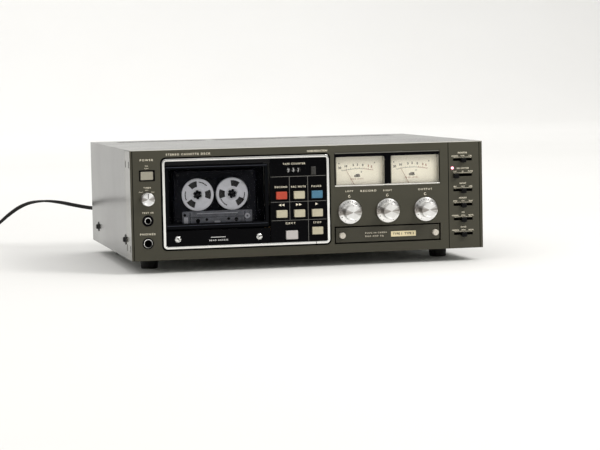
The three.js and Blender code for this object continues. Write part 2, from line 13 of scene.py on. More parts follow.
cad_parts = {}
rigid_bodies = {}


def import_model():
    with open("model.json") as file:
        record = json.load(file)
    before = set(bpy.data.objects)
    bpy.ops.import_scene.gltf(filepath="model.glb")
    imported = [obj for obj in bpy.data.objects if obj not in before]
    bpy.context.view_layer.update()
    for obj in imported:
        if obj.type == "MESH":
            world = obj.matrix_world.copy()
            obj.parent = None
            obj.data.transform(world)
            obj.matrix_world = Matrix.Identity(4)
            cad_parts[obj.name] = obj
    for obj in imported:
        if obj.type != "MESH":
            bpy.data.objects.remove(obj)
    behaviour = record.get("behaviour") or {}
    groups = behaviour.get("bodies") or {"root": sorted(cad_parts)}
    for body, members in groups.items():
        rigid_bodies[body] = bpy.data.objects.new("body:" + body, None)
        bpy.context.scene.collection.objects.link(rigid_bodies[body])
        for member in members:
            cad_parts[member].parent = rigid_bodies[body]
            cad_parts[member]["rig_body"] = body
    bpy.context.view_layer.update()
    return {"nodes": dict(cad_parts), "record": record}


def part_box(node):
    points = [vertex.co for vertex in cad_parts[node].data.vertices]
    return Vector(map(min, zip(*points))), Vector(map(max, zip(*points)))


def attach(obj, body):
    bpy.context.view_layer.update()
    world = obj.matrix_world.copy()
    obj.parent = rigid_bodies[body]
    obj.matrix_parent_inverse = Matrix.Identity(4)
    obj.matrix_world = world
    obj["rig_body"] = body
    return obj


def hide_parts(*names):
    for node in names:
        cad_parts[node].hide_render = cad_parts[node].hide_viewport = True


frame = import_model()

NODES = frame["nodes"]
MM = 0.001
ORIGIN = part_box("front_panel")[0]
TO_ROW = Matrix.Translation(ORIGIN) @ Matrix.Scale(MM, 4)
scene = bpy.context.scene


def at(x, y, z):
    """A point of the casing, in the row frame."""
    return TO_ROW @ Vector((x, y, z))


def extent(node):
    """A CAD node's lowest and highest corner in the casing's millimetres."""
    low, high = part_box(node)
    return (low - ORIGIN) / MM, (high - ORIGIN) / MM


def centre(node):
    low, high = extent(node)
    return (low + high) / 2


def across(node):
    """A CAD node's middle in x and z, and its lowest and highest corner."""
    low, high = extent(node)
    return (low.x + high.x) / 2, (low.z + high.z) / 2, low, high


WIDTH = extent("front_panel")[1].x
DEPTH = extent("top_cover")[1].y
HEIGHT = extent("front_panel")[1].z
FLOOR = -ORIGIN.z / MM

# ---------------- camera

LENS = 120.885
SENSOR_WIDTH = 36
FARTHEST = 50
CAMERA_PLACE = (-358.4, -2375.6, 221.15)
CAMERA_HEADING = -13.379
CAMERA_PITCH = -4.3305
CAMERA_ROLL = -1.1363


def add_camera():
    data = bpy.data.cameras.new("camera")
    data.lens = LENS
    data.sensor_width = SENSOR_WIDTH
    data.clip_end = FARTHEST
    camera = bpy.data.objects.new("camera", data)
    scene.collection.objects.link(camera)
    heading = Matrix.Rotation(math.radians(CAMERA_HEADING), 4, "Z")
    level = Matrix.Rotation(math.radians(90 + CAMERA_PITCH), 4, "X")
    roll = Matrix.Rotation(math.radians(CAMERA_ROLL), 4, "Z")
    camera.matrix_world = Matrix.Translation(at(*CAMERA_PLACE)) @ heading @ level @ roll
    scene.camera = camera


add_camera()

# ---------------- node graphs


class Graph:
    """A node tree whose inputs take numbers and other nodes' outputs alike."""

    def __init__(self, tree):
        self.nodes, self.links = tree.nodes, tree.links

    def feed(self, socket, value):
        if isinstance(value, bpy.types.NodeSocket):
            self.links.new(value, socket)
        else:
            socket.default_value = value

    def node(self, kind, inputs=None, output=0, **settings):
        made = self.nodes.new("ShaderNode" + kind)
        for key, value in settings.items():
            setattr(made, key, value)
        for key, value in (inputs or {}).items():
            self.feed(made.inputs[key], value)
        return made.outputs[output]

    def math(self, operation, *values):
        return self.node("Math", dict(enumerate(values)), operation=operation)

    def ramp(self, value, start, end, low, high, **settings):
        return self.node("MapRange", {"Value": value, "From Min": start, "From Max": end, "To Min": low,
                                      "To Max": high}, **settings)

    def mix(self, factor, first, second):
        return self.node("Mix", {"Factor": factor, "A": first, "B": second}, "Result", data_type="RGBA")

    def noise(self, scale, detail, **inputs):
        return self.node("TexNoise", {"Scale": scale, "Detail": detail, **inputs}, "Fac")


# ---------------- surroundings and light

PAPER_HALF = 16.0
PAPER_FRONT = -16.0
PAPER_BACK = 7.5
PAPER_TOP = 5.0
PAPER_CURVE = 2.0
PAPER_STEPS = 16
BELOW_SOLES = -0.0002
# The room brightens along y and z: axis, where the ramp starts and ends, strength at each end.
ROOM_RAMPS = (("Y", -0.1, 0.8, 0.1, 1.08), ("Z", 0.12, 0.75, 0.0, 1.15))
ROOM_COLOR = (1.0, 0.99, 0.968, 1)


def area_light(name, place, target, size, power, color=(1, 1, 1)):
    data = bpy.data.lights.new(name, "AREA")
    data.shape = "RECTANGLE"
    data.size, data.size_y = size
    data.energy = power
    data.color = color
    light = bpy.data.objects.new(name, data)
    scene.collection.objects.link(light)
    light.location = place
    light.rotation_euler = (Vector(target) - Vector(place)).to_track_quat("-Z", "Y").to_euler()


def add_paper():
    """White paper that runs back and curves up behind the deck."""
    mesh = bpy.data.meshes.new("paper")
    bm = bmesh.new()
    profile = [(PAPER_FRONT, BELOW_SOLES)]
    for i in range(PAPER_STEPS + 1):
        angle = math.radians(90 * i / PAPER_STEPS)
        profile.append((PAPER_BACK - PAPER_CURVE + PAPER_CURVE * math.sin(angle),
                        BELOW_SOLES + PAPER_CURVE - PAPER_CURVE * math.cos(angle)))
    profile.append((PAPER_BACK, PAPER_TOP))
    rows = [[bm.verts.new((x, y, z)) for x in (-PAPER_HALF, PAPER_HALF)] for y, z in profile]
    for low, high in zip(rows, rows[1:]):
        bm.faces.new((low[0], low[1], high[1], high[0])).smooth = True
    bm.to_mesh(mesh)
    bm.free()
    paper = bpy.data.objects.new("paper", mesh)
    scene.collection.objects.link(paper)
    paper.data.materials.append(PAPER)


def add_room():
    """A white room that is darker behind the camera."""
    world = bpy.data.worlds.new("room")
    scene.world = world
    world.use_nodes = True
    graph = Graph(world.node_tree)
    split = graph.node("SeparateXYZ", {0: graph.node("TexCoord", output="Generated")}).node
    ramps = [graph.ramp(split.outputs[axis], *ends) for axis, *ends in ROOM_RAMPS]
    background = graph.nodes["Background"]
    graph.feed(background.inputs["Strength"], graph.math("MAXIMUM", *ramps))
    graph.feed(background.inputs["Color"], ROOM_COLOR)


def add_lights():
    middle = (0, 0, 0.06)
    area_light("key", (1.1, -1.3, 1.5), middle, (0.7, 0.7), 19, (1, 0.985, 0.96))
    area_light("fill", (-1.5, -1.2, 0.9), middle, (1.2, 1.2), 2)
    area_light("back", (0.2, 1.4, 2.2), (0.2, 3.0, 0.3), (2.4, 0.8), 17)
    area_light("backdrop", (0.2, 4.6, 3.2), (0.2, 7.2, 0.6), (5.0, 1.6), 55)


scene.view_settings.view_transform = "Standard"

# ---------------- finishes


def tone(red, green, blue):
    """A linear colour from values out of 255 as a display shows them."""
    def linear(value):
        value /= 255
        return value / 12.92 if value <= 0.04045 else ((value + 0.055) / 1.055) ** 2.4
    return linear(red), linear(green), linear(blue), 1.0


def surface(name, color, rough, metal=0.0, specular=0.5, mottle=0.06, patch=18, grain=1800,
            bump=0.02, stretch=(1, 1, 1), **settings):
    """A finish whose colour and roughness drift in patches, with a fine grain that lifts the surface.

    patch and grain are in features per metre, stretch draws them out along an axis.
    """
    made = bpy.data.materials.new(name)
    made.use_nodes = True
    graph = Graph(made.node_tree)
    sockets = graph.nodes["Principled BSDF"].inputs
    for key, value in {"Metallic": metal, "Specular IOR Level": specular, **settings}.items():
        graph.feed(sockets[key.replace("_", " ")], value)

    place = graph.node("Mapping", {0: graph.node("TexCoord", output="Object"), "Scale": stretch})
    broad = graph.noise(patch, 5, Vector=place)
    fine = graph.noise(grain, 3, Vector=place)
    both = graph.math("MULTIPLY_ADD", fine, 0.35, broad)

    def drift(low, high):
        return graph.ramp(both, 0.4, 0.95, low, high)

    darker = [c * (1 - mottle) for c in color[:3]] + [1]
    lighter = [min(1, c * (1 + mottle)) for c in color[:3]] + [1]
    graph.feed(sockets["Base Color"], graph.mix(drift(0, 1), darker, lighter))
    graph.feed(sockets["Roughness"], drift(max(0.02, rough * 0.85), min(1, rough * 1.15)))
    graph.feed(sockets["Normal"], graph.node("Bump", {"Strength": 1, "Distance": bump * MM, "Height": fine}))
    return made


def spun(name, color, rough):
    """Turned aluminium: the highlight is drawn out across its rings; the dark rays across the left and right
    of the face are painted reflection in the base colour.
    """
    made = surface(name, color, rough, metal=1.0, mottle=0.05, bump=0.003, Anisotropic=0.8,
                   Anisotropic_Rotation=0.25)
    graph = Graph(made.node_tree)
    sockets = graph.nodes["Principled BSDF"].inputs
    graph.feed(sockets["Tangent"], graph.node("Tangent", direction_type="RADIAL", axis="Y"))

    # Painted reflection: dark rays across the left and right of each face, mixed into the base colour by the
    # angle round its middle.
    split = graph.node("SeparateXYZ", {0: graph.node("TexCoord", output="Generated")}).node
    sideways = graph.math("SUBTRACT", split.outputs["X"], 0.5)
    upward = graph.math("SUBTRACT", split.outputs["Z"], 0.5)
    angle = graph.math("ARCTAN2", upward, sideways)
    doubled = graph.math("COSINE", graph.math("MULTIPLY", angle, 2))
    rays = graph.nodes.new("ShaderNodeTexNoise")
    rays.noise_dimensions = "1D"
    for key, value in (("Scale", 3.2), ("Detail", 4), ("W", angle)):
        graph.feed(rays.inputs[key], value)
    uneven = graph.math("MULTIPLY", graph.math("SUBTRACT", rays.outputs["Fac"], 0.5), 1.6)
    painted_dark_rays = graph.ramp(graph.math("ADD", doubled, uneven), 0.3, 1.15, 0.0, 0.8,
                        interpolation_type="SMOOTHSTEP")
    plain = sockets["Base Color"].links[0].from_socket
    graph.feed(sockets["Base Color"], graph.mix(painted_dark_rays, plain, tone(112, 102, 92)))
    return made


PAPER = surface("paper_white", (0.835, 0.832, 0.82), 0.9, specular=0.0, mottle=0.01, patch=2, bump=0)
PANEL = surface("panel_anodised", tone(69, 67, 56), 0.42, metal=0.1, specular=0.3, mottle=0.12, patch=9,
                bump=0.012, grain=2600)
COVER = surface("cover_paint", tone(56, 55, 50), 0.2, specular=0.62, mottle=0.12, patch=11, bump=0.006,
                grain=900)
ZINC = surface("zinc_plate", tone(176, 178, 174), 0.42, metal=0.9, mottle=0.14, patch=60, bump=0.006)
CHROME = surface("bright_chrome", tone(236, 236, 233), 0.13, metal=1.0, mottle=0.03, bump=0.002)
GLOSS = surface("gloss_black", tone(6, 6, 8), 0.14, specular=0.035, mottle=0.15, bump=0.002)
SATIN = surface("satin_black", tone(24, 24, 25), 0.45, specular=0.3, mottle=0.15, bump=0.01)
# Black for grooves, seams and holes, also used as painted shadow in the cheek slots.
GROOVE_BLACK_AND_SHADE = surface("groove_black_and_painted_shade", tone(5, 5, 6), 0.8, specular=0.0, mottle=0.1)
RUBBER = surface("rubber_black", tone(24, 23, 21), 0.62, specular=0.3, mottle=0.2, bump=0.02)
SPUN_WITH_PAINTED_RAYS = spun("spun_aluminium", tone(255, 254, 250), 0.3)
PALE_METAL = surface("satin_metal", tone(212, 206, 194), 0.42, metal=0.4, mottle=0.1, bump=0.006)
CREAM_KEY = surface("key_cream", tone(194, 187, 163), 0.42, specular=0.3, mottle=0.05, patch=120, bump=0.01)
RED_KEY = surface("key_red", tone(186, 76, 58), 0.4, specular=0.2, mottle=0.08, patch=120, bump=0.01)
BLUE_KEY = surface("key_blue", tone(80, 126, 152), 0.4, specular=0.2, mottle=0.08, patch=120, bump=0.01)
SILVER_KEY = surface("key_silver", tone(202, 197, 194), 0.34, metal=0.3, mottle=0.06, bump=0.01)
TAUPE = surface("button_taupe", tone(158, 153, 138), 0.45, mottle=0.06, patch=150, bump=0.012)
DIAL = surface("dial_card", tone(244, 238, 219), 0.7, specular=0.2, mottle=0.03, patch=60, bump=0.004)
INK = surface("dial_ink", tone(34, 28, 20), 0.6, specular=0.1, mottle=0.2, bump=0)
RED_INK = surface("red_ink", tone(140, 66, 34), 0.6, specular=0.1, mottle=0.15, bump=0)
CREAM_PRINT = surface("cream_print", tone(244, 236, 214), 0.5, mottle=0.04, bump=0)
GREY_PRINT = surface("grey_print", tone(120, 119, 114), 0.5, mottle=0.1, bump=0)
WHITE_PRINT = surface("white_print", tone(240, 240, 238), 0.5, mottle=0.04, bump=0)
LABEL = surface("label_plate", tone(236, 222, 182), 0.45, mottle=0.05, bump=0.004)
SMOKED = surface("smoked_acrylic", tone(5, 6, 10), 0.05, specular=0.06, mottle=0.1, bump=0, Alpha=0.12)
CLEAR = surface("clear_pane", tone(235, 235, 228), 0.03, specular=0.3, mottle=0.02, bump=0, Alpha=0.05)
SHELL = surface("cassette_shell", tone(12, 13, 19), 0.3, specular=0.1, mottle=0.12, patch=70, bump=0.004)
SHELL_CLEAR = surface("cassette_clear", tone(88, 90, 97), 0.22, mottle=0.4, patch=150, bump=0.003)
REEL = surface("reel_silver", tone(216, 217, 224), 0.35, metal=0.1, mottle=0.1, patch=140, bump=0.006)
TAPE = surface("tape_brown", tone(26, 24, 25), 0.35, mottle=0.1, grain=4000, bump=0.02, stretch=(1, 8, 1))
STEEL = surface("ground_steel", tone(150, 150, 150), 0.26, metal=1.0, mottle=0.06, bump=0.003)
BRASS = surface("jack_nickel", tone(214, 208, 190), 0.25, metal=1.0, mottle=0.05, bump=0.003)
RESIN = surface("board_resin", tone(128, 98, 50), 0.55, mottle=0.12, patch=80, bump=0.02)
CORE = surface("core_iron", tone(60, 60, 62), 0.5, metal=0.6, mottle=0.15, bump=0.03, stretch=(1, 12, 1))
LAMP_RED = surface("lamp_red", tone(230, 60, 90), 0.2, mottle=0.1, Emission_Strength=3.2,
                   Emission_Color=tone(255, 165, 185))
MECHANISM = surface("mechanism_paint", tone(7, 8, 13), 0.6, specular=0.05, mottle=0.15, bump=0.01)
BROW = surface("brow_grey", tone(13, 13, 15), 0.35, specular=0.12, mottle=0.08, bump=0.006)
RESET = surface("reset_grey", tone(52, 51, 48), 0.5, mottle=0.1, bump=0.015)
DOOR_BLACK = surface("door_black", tone(6, 7, 10), 0.25, specular=0.05, mottle=0.15, bump=0.004)
# Grey for painted highlight lines across the door frame.
DOOR_PAINTED_HIGHLIGHT = surface("door_painted_highlight", tone(62, 66, 78), 0.5, mottle=0.1, bump=0)
HUB_GREY = surface("hub_grey", tone(206, 207, 212), 0.35, mottle=0.04, bump=0.006)
NEEDLE = surface("needle_paint", tone(132, 78, 40), 0.5, mottle=0.1, bump=0)
METER_WALL = surface("meter_wall", tone(150, 144, 128), 0.6, mottle=0.08, bump=0.004)
CHEEK = surface("cheek_anodised", tone(90, 88, 77), 0.2, specular=0.95, mottle=0.08, patch=9,
                bump=0.006, grain=2600)
# Bright edge colour: a painted highlight on the panel's top edge and on the meters' lower lip.
EDGE_PAINTED_HIGHLIGHT = surface("edge_painted_highlight", tone(236, 234, 226), 0.25, metal=0.4, mottle=0.05, bump=0.002)
PALE_CLEAR = surface("cassette_pale", tone(156, 157, 164), 0.4, mottle=0.2, patch=120, bump=0.003)
# Dull edge colour: painted shade on the meters' upper lip, which is the same trim as the lower one.
EDGE_PAINTED_SHADE = surface("edge_painted_shade", tone(120, 119, 110), 0.4, metal=0.6, mottle=0.08, bump=0.002)
KNOB_INK = surface("knob_ink", tone(60, 58, 55), 0.55, mottle=0.15, bump=0)
LEVER = surface("lever_black", tone(8, 8, 9), 0.35, specular=0.15, mottle=0.12, bump=0.006)
ACCESS = surface("access_anodised", tone(66, 64, 54), 0.4, metal=0.1, specular=0.3, mottle=0.14, patch=14,
                 bump=0.012, grain=2600)
LABEL_INK = surface("label_ink", tone(34, 26, 14), 0.5, mottle=0.15, bump=0)
SILVER_PLATE = surface("rating_foil", tone(150, 150, 148), 0.35, metal=0.8, mottle=0.1, bump=0.004)
WINDING = surface("winding_tape_yellow", tone(196, 166, 82), 0.45, mottle=0.1, bump=0.02)
CAP_BLUE = surface("capacitor_sleeve", tone(34, 42, 66), 0.35, mottle=0.1, bump=0.006)

add_paper()
add_room()
add_lights()

# ---------------- mesh tools


def circle(radius, count, y, x, z):
    steps = [2 * math.pi * i / count for i in range(count)]
    return [Vector((x + radius * math.cos(a), y, z + radius * math.sin(a))) for a in steps]


def rounded(x, z, radius, y, steps=6):
    """A rounded rectangle in the x-z plane, anticlockwise as seen from the front."""
    radius = max(radius, 0.02)
    corners = [(x[1] - radius, z[0] + radius, -90), (x[1] - radius, z[1] - radius, 0),
               (x[0] + radius, z[1] - radius, 90), (x[0] + radius, z[0] + radius, 180)]
    points = []
    for cx, cz, first in corners:
        for i in range(steps + 1):
            a = math.radians(first + 90 * i / steps)
            points.append(Vector((cx + radius * math.cos(a), y, cz + radius * math.sin(a))))
    return points


def loft(bm, loops, ring=False):
    """Joins loops of equal length into a capped skin; ring closes the last loop onto the first instead."""
    rows = [[bm.verts.new(p) for p in loop] for loop in loops]
    pairs = list(zip(rows, rows[1:]))
    if ring:
        pairs.append((rows[-1], rows[0]))
    for a, b in pairs:
        for i in range(len(a)):
            j = (i + 1) % len(a)
            bm.faces.new((a[i], a[j], b[j], b[i]))
    if not ring:
        bm.faces.new(rows[0])
        bm.faces.new(rows[-1])


def turned(bm, profile, x, z, count=64, y=0.0):
    """A solid of revolution about a line along y, from [radius, y] steps; a zero radius closes an end."""
    rows = []
    for radius, depth in profile:
        if radius < 1e-6:
            rows.append([bm.verts.new((x, y + depth, z))])
        else:
            rows.append([bm.verts.new(p) for p in circle(radius, count, y + depth, x, z)])
    for a, b in zip(rows, rows[1:]):
        for i in range(count):
            j = (i + 1) % count
            if len(a) == 1 and len(b) == 1:
                continue
            if len(a) == 1:
                bm.faces.new((a[0], b[j], b[i]))
            elif len(b) == 1:
                bm.faces.new((a[i], a[j], b[0]))
            else:
                bm.faces.new((a[i], a[j], b[j], b[i]))


def box(bm, x, y, z):
    loft(bm, [rounded(x, z, 0.0, depth, 1) for depth in y])


def bar(bm, x, y, z, radius=0.3, fillet=0.25, steps=4):
    """A rounded-rectangle block along y with a filleted front edge."""
    loops = []
    for i in range(4):
        a = math.radians(90 * i / 3)
        inset = fillet * (1 - math.sin(a))
        depth = y[0] + fillet * (1 - math.cos(a))
        loops.append(rounded((x[0] + inset, x[1] - inset), (z[0] + inset, z[1] - inset),
                             max(radius - inset, 0.05), depth, steps))
    loops.append(rounded(x, z, radius, y[1], steps))
    loft(bm, loops)


def drawn(draw, *calls):
    """A new bmesh with one shape for each tuple of arguments."""
    bm = bmesh.new()
    for call in calls:
        draw(bm, *call)
    return bm


def join_into(bm, part, move=None):
    """Adds a part to a bmesh, moved by a matrix."""
    if move:
        part.transform(move)
    scratch = bpy.data.meshes.new("scratch")
    part.to_mesh(scratch)
    part.free()
    bm.from_mesh(scratch)
    bpy.data.meshes.remove(scratch)


def about(x, z, degrees, y=0):
    """A turn about a line along y, through x and z."""
    return Matrix.Translation((x, y, z)) @ Matrix.Rotation(math.radians(degrees), 4, "Y")


def swapped(order, x, y, z=0):
    """Turns a solid drawn about y to another axis, by naming which old coordinate each new one takes."""
    rows = [[float(axis == old) for old in "xyz"] + [0] for axis in order]
    return Matrix.Translation((x, y, z)) @ Matrix(rows + [[0, 0, 0, 1]])


def around(middle, half):
    return middle - half, middle + half


def inset(span, by):
    return span[0] + by, span[1] - by


def shifted(profile, y):
    return [[radius, depth + y] for radius, depth in profile]


def tube(inner, outer, low, high):
    """The section of a ring, or of a disc where inner is zero."""
    section = [[inner, low], [outer, low], [outer, high], [inner, high]]
    return section + section[:1] if inner else section


def prism(bm, outline, y, x=0.0):
    """A flat outline in the x-z plane, carried from one depth to another."""
    loft(bm, [[Vector((x + px, depth, pz)) for px, pz in outline] for depth in y])


def spokes(bm, x, z, angles, reach, y, half):
    """Small blocks set round a line along y, between two distances from it."""
    for angle in angles:
        join_into(bm, drawn(box, (reach, y, around(0, half))), about(x, z, angle))


def screw_slot(bm, x, z, y, length, width, turn):
    """A dark screwdriver slot across a head."""
    slot = drawn(box, (around(0, length / 2), around(0, 0.25), around(0, width / 2)))
    join_into(bm, slot, about(x, z, turn, y))


# Angles in degrees, and the distances under which points are one: millimetres here, metres in CAD.
SMOOTH_UP_TO = 38
BEVEL_ABOVE = 35
FLAT_UP_TO = 0.4
SAME_POINT = 0.0004
SAME_CAD_POINT = 1e-6


def add_piece(name, bm, material, slot="satin_black", body="root", replaces=(), bevel=0.0,
              sharp=SMOOTH_UP_TO):
    """Turns a finished bmesh, in the casing's millimetres, into a piece that rides on a body."""
    bmesh.ops.remove_doubles(bm, verts=bm.verts, dist=SAME_POINT)
    bmesh.ops.recalc_face_normals(bm, faces=bm.faces)
    for face in bm.faces:
        face.smooth = True
    limit = math.radians(sharp)
    for edge in bm.edges:
        if len(edge.link_faces) == 2:
            edge.smooth = edge.calc_face_angle(0) < limit
    bm.transform(TO_ROW)
    mesh = bpy.data.meshes.new(name)
    bm.to_mesh(mesh)
    bm.free()
    for finish in material if isinstance(material, list) else [material]:
        mesh.materials.append(finish)
    piece = bpy.data.objects.new(name, mesh)
    scene.collection.objects.link(piece)
    if bevel:
        edges = piece.modifiers.new("edges", "BEVEL")
        edges.width = bevel * MM
        edges.segments = 2
        edges.limit_method = "ANGLE"
        edges.angle_limit = math.radians(BEVEL_ABOVE)
        edges.harden_normals = False
    piece.modifiers.new("normals", "WEIGHTED_NORMAL").keep_sharp = True
    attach(piece, body)
    if replaces:
        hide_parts(*replaces)
    return piece


def body_of_node(node):
    return NODES[node]["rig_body"]


def slot_of_node(node):
    return next(s["material_slot"] for s in frame["record"]["subparts"] if s["node"] == node)


def stand_for(node, bm, material, **options):
    """A detailed piece in a CAD node's place and on its body."""
    return add_piece(node + "_body", bm, material, slot_of_node(node), body_of_node(node), (node,), **options)


def refined(node, material, bevel):
    """A CAD node's own shape with merged faces and softened edges."""
    bm = bmesh.new()
    bm.from_mesh(NODES[node].data)
    bmesh.ops.remove_doubles(bm, verts=bm.verts, dist=SAME_CAD_POINT)
    bmesh.ops.dissolve_limit(bm, angle_limit=math.radians(FLAT_UP_TO), verts=bm.verts, edges=bm.edges)
    bm.transform(TO_ROW.inverted())
    return stand_for(node, bm, material, bevel=bevel)


def lettering(text, height, spacing, bold):
    """A line of lettering as a flat mesh; height is the capitals' height."""
    curve = bpy.data.curves.new("ink", "FONT")
    curve.body = text
    curve.size = height / 0.7
    curve.align_x = "CENTER"
    curve.align_y = "CENTER"
    curve.space_character = spacing
    curve.extrude = INK_THICKNESS / 2
    curve.offset = bold * height
    curve.resolution_u = 3
    ink = bpy.data.objects.new("ink", curve)
    scene.collection.objects.link(ink)
    bpy.context.view_layer.update()
    mesh = bpy.data.meshes.new_from_object(ink.evaluated_get(bpy.context.evaluated_depsgraph_get()))
    bpy.data.objects.remove(ink)
    bpy.data.curves.remove(curve)
    spread = [v.co.x for v in mesh.vertices]
    return mesh, min(spread), max(spread)


INK_THICKNESS = 0.05


def write(bm, text, x, z, height, y, width=None, bold=0.022, loosest=1.45):
    """Thin raised ink on a face that looks forward, letter-spaced and then stretched to a width."""
    mesh, low, high = lettering(text, height, 1.04, bold)
    if width and len(text) > 1:
        bpy.data.meshes.remove(mesh)
        spacing = min(loosest, max(0.9, 1.04 * width / (high - low)))
        mesh, low, high = lettering(text, height, spacing, bold)
    stretch = width / (high - low) if width else 1
    mesh.transform(Matrix.Translation((x, y, z)) @ Matrix.Rotation(math.radians(90), 4, "X")
                   @ Matrix.Diagonal((stretch, 1, 1, 1)) @ Matrix.Translation((-(low + high) / 2, 0, 0)))
    bm.from_mesh(mesh)
    bpy.data.meshes.remove(mesh)


def strip(bm, x, z, y):
    """A thin printed line or patch on a face that looks forward."""
    box(bm, x, around(y, INK_THICKNESS), z)


def triangle(bm, x, z, size, y, way):
    """A printed arrowhead that points along x."""
    half = size / 2
    outline = [(x - way * half, z - half), (x - way * half, z + half), (x + way * half, z)]
    prism(bm, outline, around(y, INK_THICKNESS))


# ---------------- mains lead

CORD_WIDTH = 5.2
CORD_THICKNESS = 3.0
RELIEF_PLACE = centre("cord_relief")

# The lead's points from the strain relief to the coil: x, y, and height above the floor.
CORD_ROUTE = [
    (100, 378.3, 50), (99.6, 388, 50), (97.5, 399, 50), (92, 411, 50.1), (83, 421.5, 50.3),
    (71, 430, 50.5), (54, 437, 50.9), (34, 443, 51.4), (12.7, 450, 52.4), (-9.9, 459, 56.5),
    (-29.9, 469, 60.7), (-49.9, 479, 62.6), (-69.5, 488, 60.4), (-83.9, 494, 54.5), (-97.8, 500, 44.9),
    (-111.8, 506, 32.5), (-124, 511, 20.5), (-136, 515.5, 10.5), (-149, 519.5, 4.2), (-163, 522, 2.8),
]
# The flat lead stands on edge as it leaves the deck, and has turned over where it lies flat: x, degrees.
TWIST = ((-18, 90), (-122, -180))
COIL = (-190, 485)
COIL_OUTER_TURN = 36.8
COIL_TURNS = 3
COIL_LAYER = 3.05

COIL_STEP_DEGREES = 12
COIL_RUN_OUT_DEGREES = 450
COIL_CLEARANCE = 0.15
CORD_STEP = 3.5
LOBE_STEPS = 8
LOBE_HALF_ARC = 112


def smooth_through(points, step):
    """A smooth curve through the points, with a point about every step millimetres."""
    path = []
    padded = [2 * points[0] - points[1]] + points + [2 * points[-1] - points[-2]]
    for a, b, c, d in zip(padded, padded[1:], padded[2:], padded[3:]):
        times = [0.0]
        for p, q in ((a, b), (b, c), (c, d)):
            times.append(times[-1] + math.sqrt((q - p).length))

        def between(p, q, first, last):
            return p.lerp(q, (t - times[first]) / (times[last] - times[first]))

        count = max(1, round((c - b).length / step))
        for i in range(count):
            t = times[1] + (times[2] - times[1]) * i / count
            ab, bc, cd = between(a, b, 0, 1), between(b, c, 1, 2), between(c, d, 2, 3)
            path.append(between(between(ab, bc, 0, 2), between(bc, cd, 1, 3), 1, 2))
    path.append(points[-1])
    return path


def coil_points():
    """Three layers of flat turns: in towards the middle, out again, and in, from the top of the coil."""
    inner = COIL_OUTER_TURN - COIL_TURNS * CORD_WIDTH
    low = CORD_THICKNESS / 2 + COIL_CLEARANCE
    points = []
    for degrees in range(0, 2 * 360 * COIL_TURNS + COIL_RUN_OUT_DEGREES + 1, COIL_STEP_DEGREES):
        turns = degrees / 360
        layer = min(2, int(turns / COIL_TURNS))
        within = turns - layer * COIL_TURNS
        radius = COIL_OUTER_TURN - within * CORD_WIDTH
        if layer == 1:
            radius = inner + within * CORD_WIDTH
        climb = min(1.0, within * 6) if layer else 1.0
        height = low + COIL_LAYER * (layer - 1 + climb if layer else 0)
        angle = math.radians(90 + degrees)
        x, y = COIL[0] + radius * math.cos(angle), COIL[1] + radius * math.sin(angle)
        points.append(Vector((x, y, height)))
    return points

def cord_path():
    """The lead's middle line in the row frame, from the strain relief to the plug's mouth."""
    x, z, _, plug_high = across("plug")
    mouth = Vector((x, plug_high.y, z - FLOOR))
    points = [Vector(p) for p in CORD_ROUTE]
    points.append(Vector((-176.5, 522.4, 1.9)))
    points += coil_points()
    last = points[-1]
    points.append(Vector((last.x + 0.1, last.y - 9, last.z)))
    points.append(Vector((last.x * 0.55 + mouth.x * 0.45, (last.y + mouth.y) / 2, (last.z + mouth.z) / 2)))
    points.append(mouth + Vector((0, 9, 0)))
    points.append(mouth + Vector((0, -3, 0)))
    return [at(p.x, p.y, p.z + FLOOR) for p in smooth_through(points, CORD_STEP)]


def twin_section():
    """The outline of a two-core flat lead: two round lobes with a shallow valley between them."""
    lobe = CORD_THICKNESS / 2
    shift = CORD_WIDTH / 2 - lobe
    points = []
    for side in (1, -1):
        for i in range(LOBE_STEPS):
            turn = -LOBE_HALF_ARC + 2 * LOBE_HALF_ARC * i / (LOBE_STEPS - 1)
            a = math.radians((0 if side == 1 else 180) + turn)
            points.append((side * shift + lobe * math.cos(a), lobe * math.sin(a)))
    return points


def add_cord():
    path = cord_path()
    section = twin_section()
    loops = []
    twist_from, twist_to = at(TWIST[0][0], 0, 0).x, at(TWIST[1][0], 0, 0).x
    done = 0.0
    for i, point in enumerate(path):
        ahead = (path[min(i + 1, len(path) - 1)] - path[max(i - 1, 0)]).normalized()
        flat = ahead.cross(Vector((0, 0, 1))).normalized()
        done = max(done, min(1.0, (point.x - twist_from) / (twist_to - twist_from)))
        lean = math.radians(TWIST[0][1] + done * (TWIST[1][1] - TWIST[0][1]))
        across_lead = Matrix.Rotation(lean, 3, ahead) @ flat
        upward = across_lead.cross(ahead)
        loops.append([point + (across_lead * u + upward * v) * MM for u, v in section])
    bm = drawn(loft, (loops,))
    bm.transform(TO_ROW.inverted())
    cord = add_piece("mains_lead", bm, RUBBER, "rubber_black", replaces=("mains_cord", "cord_coil"), sharp=50)
    return cord, path


def add_plug():
    """A moulded two-pin plug with a grip, lying on its side."""
    x, z, low, high = across("plug")
    body_end = high.y - 36
    outline = [(high.y, 4), (high.y - 2, 4.6), (high.y - 7, 5.4), (high.y - 12, 8), (high.y - 16, 10.6),
               (high.y - 20, 11), (body_end + 1, 11), (body_end, 10.2)]
    loops = []
    for y, half in outline:
        tall = 3.6 + 3.8 * min(1, (high.y - y) / 14)
        loops.append(rounded(around(x, half), around(z, tall), min(half, tall) * 0.6, y))
    plug = add_piece("mains_plug", drawn(loft, (loops,)), RUBBER, "rubber_black", replaces=("plug",),
                     sharp=60)
    pins = [(around(x + side, 0.75), (low.y, body_end + 2), around(z, 3.2)) for side in (-6.35, 6.35)]
    add_piece("mains_plug_pins", drawn(box, *pins), BRASS, "bright_trim", bevel=0.3)
    z = (high.z - 0.3, high.z + 0.25)
    ridges = [(around(x, 8), around(high.y - 22 - i * 2.4, 0.6), z) for i in range(5)]
    add_piece("mains_plug_grip", drawn(box, *ridges), RUBBER, "rubber_black", bevel=0.2)
    return plug


